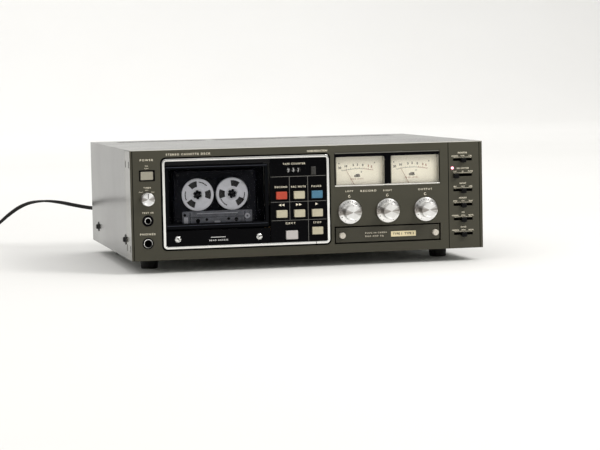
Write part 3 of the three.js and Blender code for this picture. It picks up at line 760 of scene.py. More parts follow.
def add_relief():
    """The ribbed strain relief: a flange against the rear panel and a tapering sleeve."""
    low, high = extent("cord_relief")
    flange = DEPTH + 0.3
    profile = [[0, low.y], [5.8, low.y]]
    profile += shifted([[5.8, 0], [7.6, 0], [8, 0.5], [8, 2], [7.4, 2.6], [6.1, 2.8]], flange)
    ribs = 7
    start = flange + 4
    pitch = (high.y - start - 1) / ribs
    for i in range(ribs):
        radius = 6.0 - 2.0 * i / ribs
        rib = [[radius, 0], [radius, pitch * 0.6], [radius - 1.0, pitch * 0.68], [radius - 1.0, pitch * 0.95]]
        profile += shifted(rib, start + i * pitch)
    profile += [[3.9, high.y - 1], [3.7, high.y], [0, high.y]]
    sleeve = drawn(turned, (profile, *RELIEF_PLACE.xz, 48))
    return stand_for("cord_relief", sleeve, RUBBER, sharp=50)


cord, cord_line = add_cord()
plug = add_plug()
relief = add_relief()

# ---------------- casing

PANEL_SEAMS = (2.8, 396.2, 436.3)
CHEEK_SLOTS = [(9, 111, 119), (34, 111, 119), (9, 10, 18), (34, 10, 18)]
SIDE_SCREWS = [(289, 22), (47.5, 23)]


def add_casing():
    """The panel with its smoother cheeks, a bright strip on its top edge that is partly a cut edge and partly
    a painted highlight, dark seams, and the sheet metal.
    """
    panel = refined("front_panel", [PANEL, CHEEK], 0.22)
    for face in panel.data.polygons:
        if abs(face.normal.x) > 0.9 and not at(1, 0, 0).x < face.center.x < at(WIDTH - 1, 0, 0).x:
            face.material_index = 1
    # Painted highlight: a bright strip along the panel's top edge, partly a cut edge and partly the light it
    # catches.
    top_edge = (0.3, WIDTH - 0.3), (-0.02, 0.9), (HEIGHT - 0.75, HEIGHT + 0.02)
    add_piece("panel_top_painted_highlight", drawn(box, top_edge), EDGE_PAINTED_HIGHLIGHT, "panel_finish", bevel=0.1)
    seams = [(around(x, 0.42), (-0.02, 0.38), (0.2, HEIGHT - 0.8)) for x in PANEL_SEAMS]
    add_piece("panel_seam_linings", drawn(box, *seams), GROOVE_BLACK_AND_SHADE)
    refined("top_cover", COVER, 0.3)
    refined("chassis_pan", ZINC, 0.2)
    refined("rear_panel", ZINC, 0.15)
    refined("mechanism_plate", MECHANISM, 0.2)


def add_foot(node):
    """A rubber foot with a sunk screw."""
    low, high = extent(node)
    stands = swapped("xzy", *centre(node).xy)
    radius, tall = (high.x - low.x) / 2, high.z - low.z
    profile = [[0, 5], [3, 5], [3, 0.4], [3.6, 0], [radius - 2.2, 0], [radius - 1.2, 0.5],
               [radius - 0.9, 1.6], [radius - 0.1, tall - 1.2], [radius - 0.5, tall - 0.3],
               [radius - 1.2, tall], [0, tall]]
    bm = drawn(turned, (profile, 0, 0, 56, low.z))
    bm.transform(stands)
    stand_for(node, bm, RUBBER)
    bm = drawn(turned, ([[0, 3.4], [1.6, 3.4], [2.4, 3.9], [2.6, 4.6], [2.6, 5], [0, 5]], 0, 0, 32, low.z))
    bm.transform(stands)
    add_piece(node + "_screw", bm, STEEL, "polished_steel")


def add_side_screws():
    """Black flanged screws that hold the cover, two on each side."""
    profile = [[0, -3.4], [2.2, -3.4], [3.0, -3.0], [3.25, -2.3], [3.25, -0.9], [5.9, -0.75], [6.5, -0.35],
               [6.5, 0], [0, 0]]
    mirrored = Matrix.Translation((WIDTH, 0, 0)) @ Matrix.Diagonal((-1, 1, 1, 1))
    for side, flip in (("left", Matrix()), ("right", mirrored)):
        bm = bmesh.new()
        for y, z in SIDE_SCREWS:
            part = drawn(turned, (profile, 0, 0, 40))
            screw_slot(part, 0, 0, -3.35, 4.6, 0.7, 60)
            join_into(bm, part, flip @ swapped("yxz", 0, y, z))
        add_piece(f"cover_screws_{side}", bm, SATIN)


def add_cheek_slots():
    """Painted shadow: dark strips that show in the cooling slots of both cheeks, where shade falls inside
    them.
    """
    sides = (0.05, 0.5), (WIDTH - 0.5, WIDTH - 0.05)
    linings = [(x, around(y, 1.85), (low + 0.05, high - 0.05)) for y, low, high in CHEEK_SLOTS for x in sides]
    add_piece("cheek_slot_painted_shadows", drawn(box, *linings), GROOVE_BLACK_AND_SHADE)


# ---------------- tape bay

BAY_LOW, BAY_HIGH = extent("bay_frame")
BAY_X = (38.5, 244.2)
BAY_Z = (12.6, 121.2)
BAND = 3.2
GROOVE_WIDTH = 1.9
RING_FRONT = BAY_LOW.y
RING_BACK = BAY_HIGH.y
KEY_FACE = extent("key_panel")[0].y
# How far print lies in front of the face that carries it.
PRINT = 0.02


def add_bay_ring():
    """The bright ring, filleted at its front edges, in its black groove, and its seam."""
    def band(profile, radius):
        return [rounded(inset(BAY_X, d), inset(BAY_Z, d), radius(d), y, 8) for d, y in profile]

    profile = [(0, RING_BACK), (0, RING_FRONT + 0.7), (0.12, RING_FRONT + 0.35), (0.35, RING_FRONT + 0.1),
               (0.75, RING_FRONT), (BAND - 0.75, RING_FRONT), (BAND - 0.35, RING_FRONT + 0.1),
               (BAND - 0.12, RING_FRONT + 0.35), (BAND, RING_FRONT + 0.7), (BAND, RING_BACK)]
    ring = band(profile, lambda d: 5 - d * 3 / BAND)
    stand_for("bay_frame", drawn(loft, (ring, True)), CHROME)
    groove = [(-GROOVE_WIDTH - 1, 3.2), (-GROOVE_WIDTH - 1, 2.6), (0.4, 2.6), (0.4, 3.2)]
    add_piece("bay_groove", drawn(loft, (band(groove, lambda d: 5.5), True)), GROOVE_BLACK_AND_SHADE)
    seam = around(226.8, 0.3), (RING_FRONT - 0.06, RING_FRONT + 0.4), (BAY_Z[0] + 0.3, BAY_Z[0] + BAND - 0.3)
    add_piece("bay_ring_seam", drawn(box, seam), GROOVE_BLACK_AND_SHADE)


def add_bay_brow():
    """The sloping ledge over the door."""
    x = (BAY_X[0] + BAND + 0.3, 170.3)
    top, foot = BAY_Z[1] - BAND - 0.3, 113.3
    corners = [(KEY_FACE - 1.9, top), (KEY_FACE - 1.9, top - 0.8), (KEY_FACE - 0.1, foot), (KEY_FACE, foot),
               (KEY_FACE, top)]
    brow = drawn(loft, ([[Vector((px, y, z)) for y, z in corners] for px in x],))
    add_piece("bay_brow", brow, BROW, bevel=0.15)


def add_key(node, material, lip=1.0, dish=0.22):
    """A key cap with a raised lip round a shallow dish."""
    low, high = extent(node)
    x, z = (low.x, high.x), (low.z, high.z)
    front = low.y
    steps = [(0, high.y), (0, front + 0.75), (0.12, front + 0.35), (0.35, front + 0.1), (0.65, front),
             (0.65 + lip * 0.4, front), (0.75 + lip * 0.7, front + dish * 0.4), (0.8 + lip, front + dish)]
    loops = [rounded(inset(x, d), inset(z, d), max(0.25, 0.9 - d * 0.4), y, 5) for d, y in steps]
    stand_for(node, drawn(loft, (loops,)), material)


def write_all(bm, words, y):
    """Writes a table of text, x, z, height and width on a face."""
    for text, x, z, height, width in words:
        write(bm, text, x, z, height, y, width=width)


def add_key_panel():
    refined("key_panel", GLOSS, 0.18)
    face = KEY_FACE - PRINT
    columns, rows = (194.6, 217.5), (95.6, 64.9, 42.4)
    bm = bmesh.new()
    for z in rows:
        strip(bm, (171.4, 240.4), around(z, 0.22), face)
    for x, foot in zip(columns, (rows[2], 16.4)):
        strip(bm, around(x, 0.22), (foot, rows[0]), face)
    add_piece("key_panel_lines", bm, GREY_PRINT, "gloss_black")
    bm = bmesh.new()
    write_all(bm, (("TAPE COUNTER", 200.9, 110.9, 2.1, 28.1), ("RECORD", 184.1, 83.0, 2.1, 15.4),
                   ("REC MUTE", 205.8, 82.8, 2.1, 18.2), ("PAUSE", 228.3, 82.8, 2.1, 12.2),
                   ("EJECT", 195.2, 38.7, 2.1, 12.0), ("STOP", 228.5, 38.5, 2.1, 10.0)), face)
    for x, z, way, count in ((184.4, 61.2, -1, 2), (206.0, 61.2, 1, 2), (228.3, 61.2, 1, 1)):
        for i in range(count):
            triangle(bm, x + (i - (count - 1) / 2) * 3.9, z, 3.2, face, way)
    add_piece("key_panel_print", bm, CREAM_PRINT, "key_cream")


COUNTER_SHOWS = {"hundreds": 9, "tens": 3, "ones": 7}


def add_counter_wheel(node, shown):
    """A counter wheel with its ten figures printed round the rim."""
    low, high = extent(node)
    middle = (low + high) / 2
    radius, half = (high.z - low.z) / 2, (high.x - low.x) / 2
    bm = drawn(turned, ([[1.1, -half], [radius - 0.3, -half], [radius, -half + 0.2], [radius, half - 0.2],
                         [radius - 0.3, half], [1.1, half], [1.1, -half]], 0, 0, 60))
    bm.transform(swapped("yxz", *middle))
    stand_for(node, bm, SATIN)
    ink = bmesh.new()
    for figure in range(10):
        part = bmesh.new()
        write(part, str(figure), 0, 0, 3.3, 0, width=2.4 if figure != 1 else 1.2)
        for i in range(-5, 6):
            whole = part.verts[:] + part.edges[:] + part.faces[:]
            bmesh.ops.bisect_plane(part, geom=whole, plane_co=(0, 0, i * 0.3), plane_no=(0, 0, 1))
        for vertex in part.verts:
            angle = vertex.co.z / radius + math.radians(36) * (figure - shown)
            reach = radius + 0.03 - vertex.co.y
            vertex.co = Vector((middle.x + vertex.co.x, middle.y - reach * math.cos(angle),
                                middle.z + reach * math.sin(angle)))
        join_into(ink, part)
    add_piece(node + "_figures", ink, WHITE_PRINT, body=body_of_node(node))


def add_counter():
    for place, shown in COUNTER_SHOWS.items():
        add_counter_wheel("counter_wheel_" + place, shown)
    low, high = extent("counter_reset_button")
    bm = bmesh.new()
    bar(bm, (low.x, high.x), (low.y + 0.4, high.y), (low.z, high.z), 0.8, 0.4)
    for i in range(5):
        z = low.z + 1.6 + i * (high.z - low.z - 3.2) / 4
        bar(bm, (low.x + 0.6, high.x - 0.6), (low.y, low.y + 1), around(z, 0.5), 0.3, 0.2, 3)
    stand_for("counter_reset_button", bm, RESET)


def add_head_cover():
    """The gloss cover under the door, its two bright thumbscrews and a plain printed sign."""
    refined("head_cover", GLOSS, 0.4)
    face = extent("head_cover")[0].y
    profile = [[0, -3.4], [2.2, -3.3], [3.0, -2.7], [3.2, -2.2], [3.65, -2.0], [3.65, 0], [0, 0]]
    heads, slots = bmesh.new(), bmesh.new()
    for x, z, turn in ((56, 24.5, 40), (155.7, 24.3, -25)):
        turned(heads, profile, x, z, 40, face)
        screw_slot(slots, x, z, face - 3.25, 4.4, 0.7, turn)
    add_piece("head_cover_screws", heads, CHROME, "bright_trim")
    add_piece("head_cover_screw_slots", slots, GROOVE_BLACK_AND_SHADE)
    bm = bmesh.new()
    strip(bm, around(105.4, 9), around(25.4, 0.3), face - PRINT)
    write(bm, "HEAD ACCESS", 105.8, 21.6, 1.7, face - PRINT, width=23)
    add_piece("head_cover_print", bm, WHITE_PRINT, "gloss_black")


# ---------------- door and cassette


def add_door():
    refined("door_frame", DOOR_BLACK, 0.35)
    refined("door_window", SMOKED, 0.3)
    low, high = extent("door_frame")
    # Painted highlights: two grey lines across the door frame, near its top and its bottom.
    bm = bmesh.new()
    for z, half in ((110.6, 0.2), (40.4, 0.18)):
        strip(bm, (low.x + 1.2, high.x - 1.2), around(z, half), 1.28)
    add_piece("door_frame_painted_highlights", bm, DOOR_PAINTED_HIGHLIGHT, "gloss_black", "door")


# Each reel with its spindle and the directions of its windows, in degrees.
HUBS = [("supply_reel", "supply_spindle", (115, 0, 235)), ("takeup_reel", "takeup_spindle", (75, 180, 315))]
WINDOW_HALF_ANGLE = 21


def pierced_disc(bm, x, z, radii, y, pierced, windows, half, step=3):
    """A flat disc of concentric bands between two depths, with windows through one band."""
    count = 360 // step
    grid = {}

    def vertex(ring, i, side):
        key = ring, i % count, side
        if key not in grid:
            angle = math.radians(i * step)
            radius = radii[ring]
            grid[key] = bm.verts.new((x + radius * math.cos(angle), y[side], z + radius * math.sin(angle)))
        return grid[key]

    def open_at(band, i):
        middle = (i % count + 0.5) * step
        return band == pierced and any(abs((middle - w + 180) % 360 - 180) < half for w in windows)

    cells = {(band, i) for band in range(len(radii) - 1) for i in range(count) if not open_at(band, i)}
    for band, i in sorted(cells):
        corners = [(band, i), (band + 1, i), (band + 1, i + 1), (band, i + 1)]
        for side in (0, 1):
            bm.faces.new([vertex(ring, k, side) for ring, k in corners])
        neighbours = [(band, (i - 1) % count), (band + 1, i), (band, (i + 1) % count), (band - 1, i)]
        for n, other in enumerate(neighbours):
            if other not in cells:
                a, b = corners[n], corners[(n + 1) % 4]
                bm.faces.new((vertex(*a, 0), vertex(*b, 0), vertex(*b, 1), vertex(*a, 1)))


def add_reel(node, windows):
    """An open metal reel: a pierced front flange, the wound tape, a plain back flange and a toothed hub."""
    x, z, low, high = across(node)
    rim = (high.x - low.x) / 2
    front, back = low.y, high.y
    bm = bmesh.new()
    pierced_disc(bm, x, z, [5.6, 7.6, 9.2, 16.4, rim - 0.9, rim], (front, front + 0.7), 2, windows,
                 WINDOW_HALF_ANGLE)
    turned(bm, tube(5.6, rim, -0.7, 0), x, z, 72, back)
    stand_for(node, bm, REEL, bevel=0.12)
    body = body_of_node(node)
    hub = [[5.7, front - 0.5], [7.3, front - 0.5], [7.6, front - 0.2], [7.6, back - 0.8], [5.7, back - 0.8],
           [5.7, front - 0.5]]
    bm = drawn(turned, (hub, x, z, 64))
    spokes(bm, x, z, [i * 60 + windows[0] for i in range(6)], (4.3, 5.9), (front, back - 1), 0.55)
    add_piece(node + "_hub", bm, HUB_GREY, "reel_silver", body)
    tape = tube(7.7, 17.6, front + 0.9, back - 0.9)
    add_piece(node + "_tape", drawn(turned, (tape, x, z, 72)), TAPE, "cassette_plastic", body)
    bm = bmesh.new()
    angles = [w + 44 + i * 7 for w in windows[::2] for i in range(6)]
    spokes(bm, x, z, angles, (14.6, 16.0), (front - 0.03, front + 0.02), 0.75)
    add_piece(node + "_marks", bm, INK, "reel_silver", body)


def add_spindle(node):
    """A driving spindle: a tapered nose with three fins, on its turntable."""
    x, z, low, high = across(node)
    nose = low.y
    profile = shifted([[0, 0], [1.2, 0.1], [2.2, 0.7], [2.7, 1.8], [3.1, 5.5], [3.1, 8.1], [7.6, 8.1],
                       [8, 8.5], [8, 9.5], [7.6, 9.9], [2, 9.9]], nose) + [[2, high.y], [0, high.y]]
    bm = drawn(turned, (profile, x, z, 48))
    spokes(bm, x, z, (0, 120, 240), (2.0, 3.9), (nose + 5.6, nose + 8.2), 0.5)
    stand_for(node, bm, SATIN)


def add_cassette():
    """The shell, the clear raised front over its lower edge, and what shows through that."""
    refined("cassette_shell", SHELL, 0.3)
    x, _, low, _ = across("cassette_shell")
    foot, front = low.z, low.y
    half, rise, middle = 43, 15.4, x + 1.6
    outline = [(middle - half, foot + 0.2), (middle + half, foot + 0.2), (middle + half, foot + rise - 1),
               (middle + half - 1, foot + rise), (middle - half + 1, foot + rise),
               (middle - half, foot + rise - 1)]
    clear = drawn(prism, (outline, (front - 0.35, front - 0.02)))
    add_piece("cassette_front", clear, SHELL_CLEAR, "cassette_plastic", "door", bevel=0.2)
    face = front - 0.37
    bm = bmesh.new()
    for dx, dz, radius in ((-22.3, 3.6, 2.6), (-11.5, 5.0, 1.7), (15.5, 5.2, 1.7), (25, 4.2, 2.4),
                           (-38.4, 11, 1.7)):
        turned(bm, tube(0, radius, -0.02, 0.03), x + dx, foot + dz, 28, face)
    strip(bm, (middle - 34, middle + 34), (foot + 7.6, foot + 8.0), face)
    for dx in (-33.5, 34):
        strip(bm, around(middle + dx, 0.4), (foot + 0.6, foot + rise - 1.5), face)
    add_piece("cassette_holes", bm, GROOVE_BLACK_AND_SHADE, "cassette_plastic", "door")
    bm = bmesh.new()
    turned(bm, [[1.3, -0.1], [3.2, -0.1], [3.4, 0.1], [1.3, 0.1], [1.3, -0.1]], x + 38.6, foot + 8, 32, face)
    bar(bm, around(middle - 38.5, 2.4), (face - 0.05, face + 0.1), (foot + 1, foot + 8.4), 0.5, 0.1)
    bar(bm, around(middle, 3.6), (face - 0.1, face + 0.1), (foot + 0.7, foot + 3.2), 0.5, 0.1)
    strip(bm, around(middle, 25), (foot + rise - 3.4, foot + rise - 2.7), face)
    add_piece("cassette_rollers", bm, PALE_CLEAR, "cassette_plastic", "door")
    bm = bmesh.new()
    for dx, dz in ((-46, 3.5), (46, 3.5), (-46, 59.5), (46, 59.5)):
        turned(bm, [[0, 1.15], [1.3, 1.15], [1.7, 1.35], [1.7, 1.6], [0, 1.6]], x + dx, foot + dz, 24, front)
    add_piece("cassette_screws", bm, SATIN, body="door")


# ---------------- meters

# The figures over the scale, with their places left or right of the dial's middle and their heights.
DIAL_FIGURES = [("20", -22.2, 103.6), ("10", -14.4, 105.4), ("5", -5.0, 106.7), ("3", 0.2, 106.9),
                ("0", 7.0, 106.3), ("3", 14.0, 105.2), ("5", 18.0, 104.0)]
SCALE_TOP = 101.9
SCALE_HALF = 19.6
SCALE_RADIUS = 88
SCALE_STEPS = 26
SCALE_MARKS = 15
TURNS_RED = 7.0
NEEDLE_PIVOT_Z = 74.5
NEEDLE_LEAN = -28.6


def scale_height(x):
    return SCALE_TOP - SCALE_RADIUS + math.sqrt(SCALE_RADIUS ** 2 - x ** 2)


def add_dial(side):
    """A meter's card with its printed scale, in front of its case."""
    node = f"meter_unit_{side}"
    x, _, low, high = across(node)
    face = low.y
    stand_for(node, drawn(bar, ((low.x, high.x), (face, face + 1.2), (low.z, high.z), 0.5, 0.1)), DIAL)
    case = drawn(bar, ((x - 29, x + 29), (face + 1.3, high.y), (72, 118), 2, 0.5))
    add_piece(node + "_case", case, SATIN)

    ink, red = bmesh.new(), bmesh.new()
    for i in range(SCALE_STEPS):
        a = -SCALE_HALF + 2 * SCALE_HALF * i / SCALE_STEPS
        b = -SCALE_HALF + 2 * SCALE_HALF * (i + 1) / SCALE_STEPS
        target, thick = (red, 0.5) if a >= TURNS_RED else (ink, 0.35)
        points = [(a, scale_height(a)), (b, scale_height(b)), (b, scale_height(b) + thick),
                  (a, scale_height(a) + thick)]
        prism(target, points, (face - 0.05, face + 0.02), x)
    for text, dx, z in DIAL_FIGURES:
        write(red if dx > TURNS_RED + 4 else ink, text, x + dx, z, 2.6, face - 0.03, bold=0.06)
    for i in range(SCALE_MARKS):
        dx = -SCALE_HALF + 2 * SCALE_HALF * i / (SCALE_MARKS - 1)
        rise = (scale_height(dx), scale_height(dx) + (1.9 if i % 2 == 0 else 1.2))
        strip(red if dx > TURNS_RED else ink, around(x + dx, 0.18), rise, face - 0.02)
    write(ink, "dB", x - 0.4, 93.6, 3.5, face - 0.03, width=7.6, bold=0.07, loosest=1.0)
    write(red, "PEAK LEVEL", x - 0.4, 89.6, 1.5, face - 0.03, width=17)
    for dx in (-23.2, 21.9):
        turned(ink, tube(0, 0.7, -0.05, 0.02), x + dx, 109, 12, face)
    write(ink, "0", x + 5.2, 98.2, 2.0, face - 0.03, bold=0.03)
    add_piece(f"dial_ink_{side}", ink, INK, "dial_card")
    add_piece(f"dial_red_{side}", red, RED_INK, "dial_card")


def add_needle(side):
    """A needle about its pivot, leaning left at rest."""
    node = f"meter_needle_{side}"
    low, high = extent(node)
    outline = [(-0.34, -3.6), (0.34, -3.6), (0.30, 0), (0.13, 30.8), (-0.13, 30.8), (-0.30, 0)]
    bm = drawn(prism, (outline, (low.y, low.y + 0.35)))
    hub = [[0, low.y - 0.2], [1.5, low.y - 0.2], [2.1, low.y + 0.2], [2.1, high.y], [0, high.y]]
    turned(bm, hub, 0, 0, 32)
    bm.transform(about(centre(f"meter_unit_{side}").x, NEEDLE_PIVOT_Z, NEEDLE_LEAN))
    stand_for(node, bm, NEEDLE)


WINDOW_Z = (83.0, 117.2)
WINDOW_WIDTH = 62.2
WINDOW_CENTRES = (284.0, 353.7)


def add_meter_frame():
    """The black frame round both meters, its clear panes, its lips with a painted highlight on the lower one
    and painted shade on the upper one, and pale inner sides.
    """
    low, high = extent("meter_bezel")
    windows = [around(x, WINDOW_WIDTH / 2) for x in WINDOW_CENTRES]
    uprights = [(low.x, windows[0][0]), (windows[0][1], windows[1][0]), (windows[1][1], high.x)]
    depth = (low.y, high.y)
    blocks = [(x, depth, WINDOW_Z) for x in uprights]
    blocks += [((low.x, high.x), depth, z) for z in ((low.z, WINDOW_Z[0]), (WINDOW_Z[1], high.z))]
    stand_for("meter_bezel", drawn(box, *blocks), GLOSS, bevel=0.15)
    for side, x in zip(("left", "right"), windows):
        pane = inset(x, -0.2), (low.y + 0.9, low.y + 1.9), inset(WINDOW_Z, -0.2), 0.3, 0.05
        add_piece(f"meter_pane_{side}", drawn(bar, pane), CLEAR, "smoked_window")
    # The two lips are alike: the lower one is coloured as a painted highlight, the upper one as painted
    # shade.
    for name, z, finish in (("lower", (low.z + 0.1, low.z + 1.6), EDGE_PAINTED_HIGHLIGHT),
                            ("upper", (high.z - 1.1, high.z - 0.1), EDGE_PAINTED_SHADE)):
        lip = (low.x + 0.1, high.x - 0.1), (low.y - 0.7, low.y + 0.6), z, 0.3, 0.25
        add_piece("meter_lip_" + name, drawn(bar, lip), finish, "bright_trim")
    sides = [span for x in windows for span in ((x[0], x[0] + 1.4), (x[1] - 1.4, x[1]))]
    linings = [(x, (low.y + 2.1, low.y + 6.6), WINDOW_Z) for x in sides]
    add_piece("meter_sides", drawn(box, *linings), METER_WALL, "dial_card")


# ---------------- knobs, buttons and jacks

KNOB_NODES = ("record_level_knob_left", "record_level_knob_right", "output_level_knob")
KNOB_CAP = 10.0
KNOB_FIGURES = 11


def add_level_knob(node):
    """A spun knob: a cap with a turned face and a numbered skirt."""
    x, z, low, high = across(node)
    front, skirt, cap = low.y, (high.x - low.x) / 2, KNOB_CAP
    profile = shifted([[0, 0.5], [cap - 2.0, 0.4], [cap - 1.7, 0], [cap - 0.6, 0], [cap - 0.15, 0.2],
                       [cap, 0.7], [cap, 1.7], [cap - 0.25, 1.9], [cap - 0.25, 2.3], [cap, 2.5]], front)
    profile += [[cap, -5.0], [cap - 0.4, -4.7], [cap - 0.4, -4.45], [cap + 0.4, -4.3], [skirt - 1.2, -3.9],
                [skirt - 0.35, -3.6], [skirt, -3.1], [skirt, -0.9], [skirt - 0.4, -0.5], [4, -0.5],
                [4, high.y], [0, high.y]]
    stand_for(node, drawn(turned, (profile, x, z, 96)), SPUN_WITH_PAINTED_RAYS, sharp=30)
    body = body_of_node(node)
    bm = bmesh.new()
    lines = [-240 + 300 * i / (KNOB_FIGURES - 1) for i in range(KNOB_FIGURES)]
    spokes(bm, x, z, lines, (cap + 1.1, cap + 3.2), around(-4.06, 0.05), 0.21)
    for i in range(KNOB_FIGURES):
        part = bmesh.new()
        write(part, str(i), 0, cap + 2.3, 1.7, -4.12, bold=0.05)
        join_into(bm, part, about(x, z, -121.5 + 27 * i))
    add_piece(node + "_figures", bm, KNOB_INK, "spun_aluminium", body)
    pointer = around(x, 0.35), (front - 0.03, front + 0.1), (z + cap - 1.8, z + cap - 0.5)
    add_piece(node + "_pointer", drawn(box, pointer), KNOB_INK, "spun_aluminium", body)


def add_timer_knob():
    x, z, low, high = across("timer_knob")
    front, radius = low.y, (high.x - low.x) / 2
    profile = shifted([[0, 0.4], [radius - 1.9, 0.3], [radius - 1.6, 0], [radius - 0.6, 0],
                       [radius - 0.15, 0.2], [radius, 0.7]], front)
    profile += [[radius, -0.9], [radius - 0.3, -0.5], [3, -0.5], [3, high.y], [0, high.y]]
    stand_for("timer_knob", drawn(turned, (profile, x, z, 80)), SPUN_WITH_PAINTED_RAYS, sharp=30)
    pointer = around(x, 0.45), (front - 0.03, front + 0.5), (z + 1.2, z + radius - 0.8)
    add_piece("timer_knob_pointer", drawn(box, pointer), KNOB_INK, "spun_aluminium", "timer_knob")


def add_power_button():
    """The button in its black surround."""
    low, high = extent("power_button")
    rim = (11.0, 29.9), (95.4, 108.5)
    hole = (low.x - 0.35, high.x + 0.35), (low.z - 0.35, high.z + 0.35)
    # Each loop of the surround: the outline it follows, how far inside it, corner radius, depth.
    loops = [rounded(inset(x, by), inset(z, by), radius, y, 4) for (x, z), by, radius, y in (
        (rim, 0, 0.8, 0.4), (rim, 0, 0.8, -0.5), (rim, 0.3, 0.7, -0.8), (hole, -0.4, 0.5, -0.8),
        (hole, 0, 0.4, -0.4), (hole, 0, 0.4, 5), (hole, -1.2, 0.4, 5), (hole, -0.9, 0.4, 0.4))]
    add_piece("power_surround", drawn(loft, (loops, True)), GLOSS)
    add_key("power_button", TAUPE, lip=0.8, dish=0.25)


def add_jack(node, bore, ring, depth):
    """A panel jack: black flange, bright nut and a dark bore."""
    low, high = extent(node)
    x, z = centre(node).xz
    face, flange = low.y, 6.6
    profile = [[bore, face + 0.1], [flange - 0.6, face], [flange, face + 0.5], [flange, 3], [5, 3.2],
               [5, depth], [bore, depth], [bore, face + 0.1]]
    bm = drawn(turned, (profile, x, z, 64))
    bar(bm, (x - 7, x + 7), (3.2, high.y), (z - 7, z + 7), 0.5, 0.3)
    stand_for(node, bm, GLOSS)
    inner = ring - 0.95
    profile = [[inner, -0.3], [inner + 0.25, -0.7], [ring - 0.35, -0.75], [ring, -0.4], [ring, 0.3],
               [inner, 0.3], [inner, -0.3]]
    add_piece(node + "_nut", drawn(turned, (profile, x, z, 64, face)), CHROME, "bright_trim")
    add_piece(node + "_dark", drawn(turned, (tube(0, bore - 0.05, 2.4, 2.8), x, z, 40)), GROOVE_BLACK_AND_SHADE)


LAMP_RADIUS = 1.62


def add_lamp():
    profile = [[LAMP_RADIUS * math.sin(math.radians(a)), -0.4 - 1.1 * math.cos(math.radians(a))]
               for a in range(0, 91, 15)]
    profile += [[LAMP_RADIUS, 3.2], [0, 3.2]]
    add_piece("record_lamp", drawn(turned, (profile, 401.4, 99.7, 40)), LAMP_RED, "key_red")


# ---------------- slide switches and the access cover

SWITCHES = [
    ("noise_switch_lever", "MONITOR", ("SOURCE", "TAPE", "CAL")),
    ("bias_switch_lever", "NR SYSTEM", ("OUT", "IN", "FILTER")),
    ("input_switch_lever", "INPUT", ("MIC", "OUT", "LINE")),
    ("memory_switch_lever", "MEMORY", ("STOP", "OFF", "PLAY")),
    ("tape_switch_lever", "EQ", ("NORMAL", "HIGH", "METAL")),
    ("eq_switch_lever", "BIAS", ("NORMAL", "HIGH", "METAL")),
]
SWITCH_X = centre("noise_switch_lever").x
SLOT_HALF = 12.3
SLOT_HEIGHT = 3.2


def add_switches():
    """Each switch: a dark strip behind its slot, its printed bracket and words, and its ribbed lever."""
    backs, brackets, words = bmesh.new(), bmesh.new(), bmesh.new()
    for node, title, places in SWITCHES:
        x, z, low, high = across(node)
        behind = (high.y + 0.4, high.y + 1)
        box(backs, around(SWITCH_X, SLOT_HALF + 3), behind, around(z, SLOT_HEIGHT / 2 + 3))
        line = z + SLOT_HEIGHT / 2 + 1.3
        strip(brackets, around(SWITCH_X, SLOT_HALF - 0.6), around(line, 0.13), -PRINT)
        for i, word in enumerate(places):
            px = SWITCH_X + (i - 1) * (SLOT_HALF - 2.2)
            strip(brackets, around(px, 0.13), (line - 0.9, line), -PRINT)
            write(words, word, px, line + 1.6, 1.5, -PRINT)
        write(words, title, SWITCH_X, line + 5.4, 1.8, -PRINT, width=1.7 * len(title))
        bm = bmesh.new()
        # The grip reaches 3.6 mm below the slot's middle and only 2 mm above it: partly the black lever,
        # partly painted shadow where shade falls under it.
        bar(bm, around(x, 3.2), (low.y, low.y + 4.9), (z - 3.6, z + 2.0), 0.9, 0.7)
        for dx in (-1.2, 0, 1.2):
            bar(bm, around(x + dx, 0.25), (low.y - 0.18, low.y + 0.6), (z - 3.2, z + 1.6), 0.2, 0.1, 3)
        box(bm, around(x, 1.5), (low.y + 4.8, high.y), around(z, 1.1))
        stand_for(node, bm, LEVER)
    add_piece("switch_slots", backs, GROOVE_BLACK_AND_SHADE)
    add_piece("switch_brackets", brackets, CREAM_PRINT, "key_cream")
    add_piece("switch_words", words, CREAM_PRINT, "key_cream")


def add_access_cover():
    """The cover for plug-in cards, its two screws, its label plate and the dark recess behind it."""
    refined("access_cover", ACCESS, 0.3)
    face = extent("access_cover")[0].y
    profile = [[0, -4.7], [2.9, -4.6], [3.6, -4.2], [3.85, -3.5], [3.85, 0], [0, 0]]
    heads = drawn(turned, *[(profile, x, z, 44, face) for x, z in ((259.3, 21.4), (378.0, 21.0))])
    add_piece("access_cover_screws", heads, PALE_METAL, "bright_trim")
    label = (321.4, 353.3), (face - 0.5, face + 0.1), (17.6, 24.2), 0.4, 0.15
    add_piece("access_label", drawn(bar, label), LABEL, "key_cream")
    bm = bmesh.new()
    write(bm, "TYPE 1  TYPE 2", 337.3, 20.9, 2.6, face - 0.52, width=27, bold=0.04)
    add_piece("access_label_print", bm, LABEL_INK, "key_cream")
    bm = bmesh.new()
    lines = ("PLUG-IN CARDS", 302.4, 23.2, 1.7, 27), ("BIAS AND EQ", 300.4, 19.2, 1.7, 23)
    write_all(bm, lines, face - PRINT)
    add_piece("access_cover_print", bm, CREAM_PRINT, "key_cream")
    add_piece("access_recess", drawn(box, ((250.6, 384.8), (2.6, 3.1), (11.4, 32.2))), GROOVE_BLACK_AND_SHADE)


